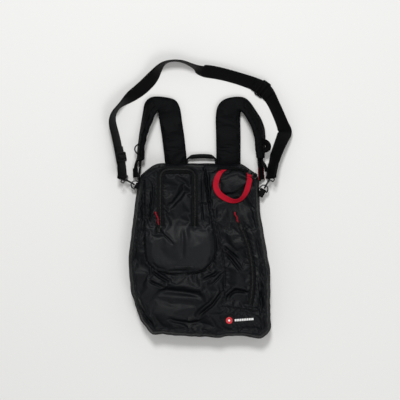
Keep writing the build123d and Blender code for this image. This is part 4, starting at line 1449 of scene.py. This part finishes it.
def make_handle():
    """Haul handle: webbing round a soft core, its two ends sewn into the top seam."""
    points = level_line(HANDLE_LINE, HANDLE_MIDDLE, HANDLE_ROWS)
    share = np.linspace(0, 1, HANDLE_ROWS)
    grip = smoothstep((share - 0.2) / 0.1) * smoothstep((0.8 - share) / 0.1)
    _, side, rise = frames_up(points)
    grid = []
    for k in range(HANDLE_ROWS):
        section = superellipse((5.0 + 6.2 * grip[k]) * MM, (5.0 + 3.2 * grip[k]) * MM, 2.4)
        grid.append(points[k] + side[k] * section[:, :1] + rise[k] * section[:, 1:])
    handle = grid_mesh("handle_grip", np.array(grid), WEBBING, wrap_v=True, caps=True)
    add_uv(handle, arc_lengths(points), np.linspace(0, 1, 20))
    sewn = slice(36, -36)
    rows = [points[sewn] + side[sewn] * off * MM + rise[sewn] * 3.0 * MM for off in (-4.2, 4.2)]
    threads = stitch_mesh("handle_stitches", rows)
    for obj, slot in ((handle, "black_webbing"), (threads, "binding")):
        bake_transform(obj)
    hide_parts("haul_handle", "handle_anchors")


# ------------------------------------------------------------------ rings, hooks and what is on the sling

RINGS = {"left": ((-159, 164), 151), "right": ((163, 152), 60)}
RING_DROP = 3.4
RING_WIRE, EYE_WIRE, TAB_THICK = 1.55 * MM, 1.4 * MM, 1.6 * MM
EYE_MIDDLE = 35
STEM_SECTIONS = [(25.4, 4.6), (26.6, 6.2), (28.4, 6.4), (29.0, 4.2), (29.8, 4.0), (30.2, 3.0)]
KNOB_SECTIONS = [(14.4, 1.2), (15.2, 2.6), (16.4, 3.0), (17.6, 2.6), (18.4, 1.2)]
GATE_RADII = [0.9, 1.5, *[1.7] * 8, 1.5, 0.9]


def corner_points(centre, radius, first, last, steps=8):
    """Points of an arc in the plane of x and z, in millimetres."""
    turn = np.radians(np.linspace(first, last, steps))
    return [(centre[0] + radius * cos(t), 0, centre[1] + radius * sin(t)) for t in turn]


def make_hook(side):
    """D ring on its webbing tab, snap hook with its sprung gate, and the swivel eye that holds the sling."""
    (x, y), heading = RINGS[side]
    spot = (x * MM, y * MM, HOOK_AXIS_HEIGHT * MM)
    turn = np.linspace(-pi / 2, pi / 2, 40)
    bow = np.stack([13.8 * np.abs(np.cos(turn)) ** 0.7, 10.4 * np.sin(turn), np.full(40, -RING_DROP)], axis=1)
    bar = np.stack([np.zeros(14), np.linspace(9.6, -9.6, 14), np.full(14, -RING_DROP)], axis=1)
    ring = tube(f"{side}_ring_wire", resample(np.vstack([bow, bar]), 80, closed=True) * MM, RING_WIRE, METAL,
                closed=True, sides=12)
    place(put(ring, spot, heading), f"{side}_ring", "ring_metal", f"{side}_d_ring")

    bend = corner_points((0, -RING_DROP), 2.9, -90, 90, 12)
    wrap = resample([(-18, 0, -RING_DROP - 2.6), *bend, (-18, 0, -RING_DROP + 2.6)], 60) * MM
    tab = ribbon(f"{side}_ring_web", wrap, WEB_WIDTH, TAB_THICK, WEBBING, across=7, side=(0, 1, 0))
    rows = [np.array([(x, t, -RING_DROP + 3.6) for t in np.linspace(-6, 6, 10)]) * MM for x in (-4.6, -6.4)]
    tab_threads = stitch_mesh(f"{side}_ring_stitches", rows)
    place(put(tab, spot, heading), "root", "black_webbing", f"{side}_ring_tab")
    place(put(tab_threads, spot, heading), "root", "binding")

    line = [*corner_points((22.4, 4.4), 3.6, 90, 0), *corner_points((22.4, -4.4), 3.6, 0, -90),
            *corner_points((13, -2), 6, -90, -180), *corner_points((13, 2), 6, 180, 96)]
    line = resample(line, 90)
    swell = 2.0 + 0.5 * np.sin(np.linspace(0, pi, 90)) ** 2
    hook = tube("hook", line * MM, swell * MM, METAL, sides=14, up=(0, 1, 0))
    stem = rounded_block("stem", [(a, d, d, 0) for a, d in STEM_SECTIONS], METAL)
    body = put(join(f"{side}_hook_body", [hook, stem]), spot, heading)
    place(body, f"{side}_hook", "ring_metal", f"{side}_snap_hook")
    rod = np.array([(a, 0, 8) for a in np.linspace(12.6, 21.8, 12)])
    gate = tube("gate", rod * MM, np.array(GATE_RADII) * MM, METAL, sides=12, up=(0, 1, 0))
    knob = rounded_block("knob", [(a, w, 2.2, 9.6) for a, w in KNOB_SECTIONS], METAL)
    gate = put(join(f"{side}_gate_lever", [gate, knob]), spot, heading)
    place(gate, f"{side}_gate", "ring_metal", f"{side}_hook_gate")

    roll = EYE_ROLL if side == "left" else -EYE_ROLL
    outline = [(a, b, 0) for a, b in rounded(7.4, 42.2, 2.4, (EYE_MIDDLE, 0))]
    loop = tube("eye", resample(outline, 120, closed=True) * MM, EYE_WIRE, METAL, closed=True, sides=12)
    boss = rounded_block("boss", [(a, 6.4, 5.4, 0) for a in (30.4, 30.9, 32.4, 33.0)], METAL)
    eye = join(f"{side}_eye_frame", [loop, boss])
    eye.data.transform(Matrix.Rotation(radians(roll), 4, "X"))
    place(put(eye, spot, heading), "root", "ring_metal", f"{side}_swivel_eye")


FOLD_GAP, FOLD_BEND = 1.9 * MM, 3.1 * MM


def make_sling_end(side, points, rolls):
    """The sling's end folded over the eye's bar and sewn back on itself."""
    if side == "right":
        points, rolls = points[::-1], -rolls[::-1]
    step = arc_lengths(points)
    along, across, rise = pad_frames(points, rolls)
    first, last = int(np.searchsorted(step, 34 * MM)), int(np.searchsorted(step, 30 * MM))
    turn = np.radians(np.linspace(90, 270, 14))
    centre = points[0] - along[0] * 2.6 * MM
    bow = [centre + along[0] * FOLD_BEND * cos(t) + rise[0] * FOLD_BEND * sin(t) for t in turn]
    outer, inner = (points + rise * side_gap for side_gap in (FOLD_GAP, -FOLD_GAP))
    path = np.vstack([outer[2:first][::-1], bow, inner[2:last]])
    leans = np.vstack([across[2:first][::-1], np.repeat(across[:1], len(bow), axis=0), across[2:last]])
    lengths = arc_lengths(path)
    leans = at_lengths(leans, lengths, np.linspace(0, lengths[-1], 80))
    path = resample(path, 80)
    fold = ribbon(f"{side}_sling_fold", path, SLING_WIDTH * 0.98, 1.7 * MM, WEBBING, across=11, side=leans)
    near, far = int(first * 0.45), int(first * 0.9)
    sewn = points + rise * (FOLD_GAP + 1.0 * MM)
    rows = [sewn[k] + across[k] * np.linspace(-16, 16, 30)[:, None] * MM for k in (near, far)]
    rows += [sewn[near:far] + across[near:far] * edge * MM for edge in (-16, 16)]
    place(fold, "root", "black_webbing")
    sew(f"{side}_sling_stitches", rows)


SLIDE_REACH = 26 * MM


def make_glide(side, points, rolls):
    """Tri-glide on the sling: a three-barred slide with the webbing woven over its middle bar."""
    low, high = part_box(f"{side}_tri_glide")
    middle = np.array((low + high) / 2)
    at = int(np.argmin(np.linalg.norm(points - middle, axis=1)))
    _, across, rise = pad_frames(points, rolls)
    if rise[at][2] < 0:
        across, rise = -across, -rise
    slots = [rounded(39, 6.4, 1.5, (0, y)) for y in (-5.3, 5.3)]
    body = plate(f"{side}_slide", rounded(46, 24, 4), slots, 3.6, 1.1, PLASTIC)
    basis = Matrix((across[at], np.cross(rise[at], across[at]), rise[at])).transposed().to_4x4()
    body.data.transform(Matrix.Translation(points[at] + rise[at] * 4.4 * MM) @ basis)
    place(body, f"{side}_glide", "buckle_plastic", f"{side}_tri_glide")
    lengths = arc_lengths(points) - arc_lengths(points)[at]
    span = np.linspace(-SLIDE_REACH, SLIDE_REACH, 50)
    lift = 2.0 * MM + 5.0 * MM * np.exp(-(span / (4.6 * MM)) ** 2) + 0.4 * MM
    line, rise, across = (at_lengths(rows, lengths, span) for rows in (points, rise, across))
    web = ribbon(f"{side}_slide_web", line + rise * lift[:, None], SLING_WIDTH * 0.97, 1.6 * MM, WEBBING,
                 across=11, side=across)
    place(web, f"{side}_glide", "black_webbing")


def make_clip():
    """Small hook that holds the end of the red loop, with its ring."""
    low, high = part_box("red_loop_clip")
    middle = (low + high) / 2
    body = plate("clip_plate", rounded(16, 9, 3), [rounded(7, 5, 2, (3, 0))], 3.6, 1.0, METAL)
    turn = np.linspace(0, 2 * pi, 40, endpoint=False)
    ring = np.stack([11 + 6.4 * np.cos(turn), 6.4 * np.sin(turn), 0.8 * np.sin(2 * turn)], axis=1) * MM
    loop = tube("clip_ring", ring, 1.1 * MM, METAL, closed=True, sides=10)
    clip = join("clip_hook", [body, loop])
    spot = middle.xy + Vector((-6, 2)) * MM
    height = on_surface([spot])[0][2] + 6.2 * MM
    place(put(clip, (*spot, height), -34), "root", "ring_metal", "red_loop_clip")


# ------------------------------------------------------------------ assembly

def finish_cad_nodes():
    """Material for the CAD piece that stays."""
    data = frame["nodes"]["base_board"].data
    data.materials.clear()
    data.materials.append(LINING)


make_front()
make_lining()
make_back()
make_binding()
make_bands()
make_flap_zip()
make_side_zip()
make_slider("front", (-101.4 * MM, 52.6 * MM), 90, end=45, lean=8)
make_slider("side", (105 * MM, 60 * MM), 115.98, end=40, lean=-2)
make_badge()
make_red_loop()
make_clip()
make_handle()
for hand in ("left", "right"):
    make_pad(hand)
    make_lower_strap(hand)
    make_hook(hand)
    make_sling_end(hand, sling_points, sling_rolls)
    make_glide(hand, sling_points, sling_rolls)
finish_cad_nodes()
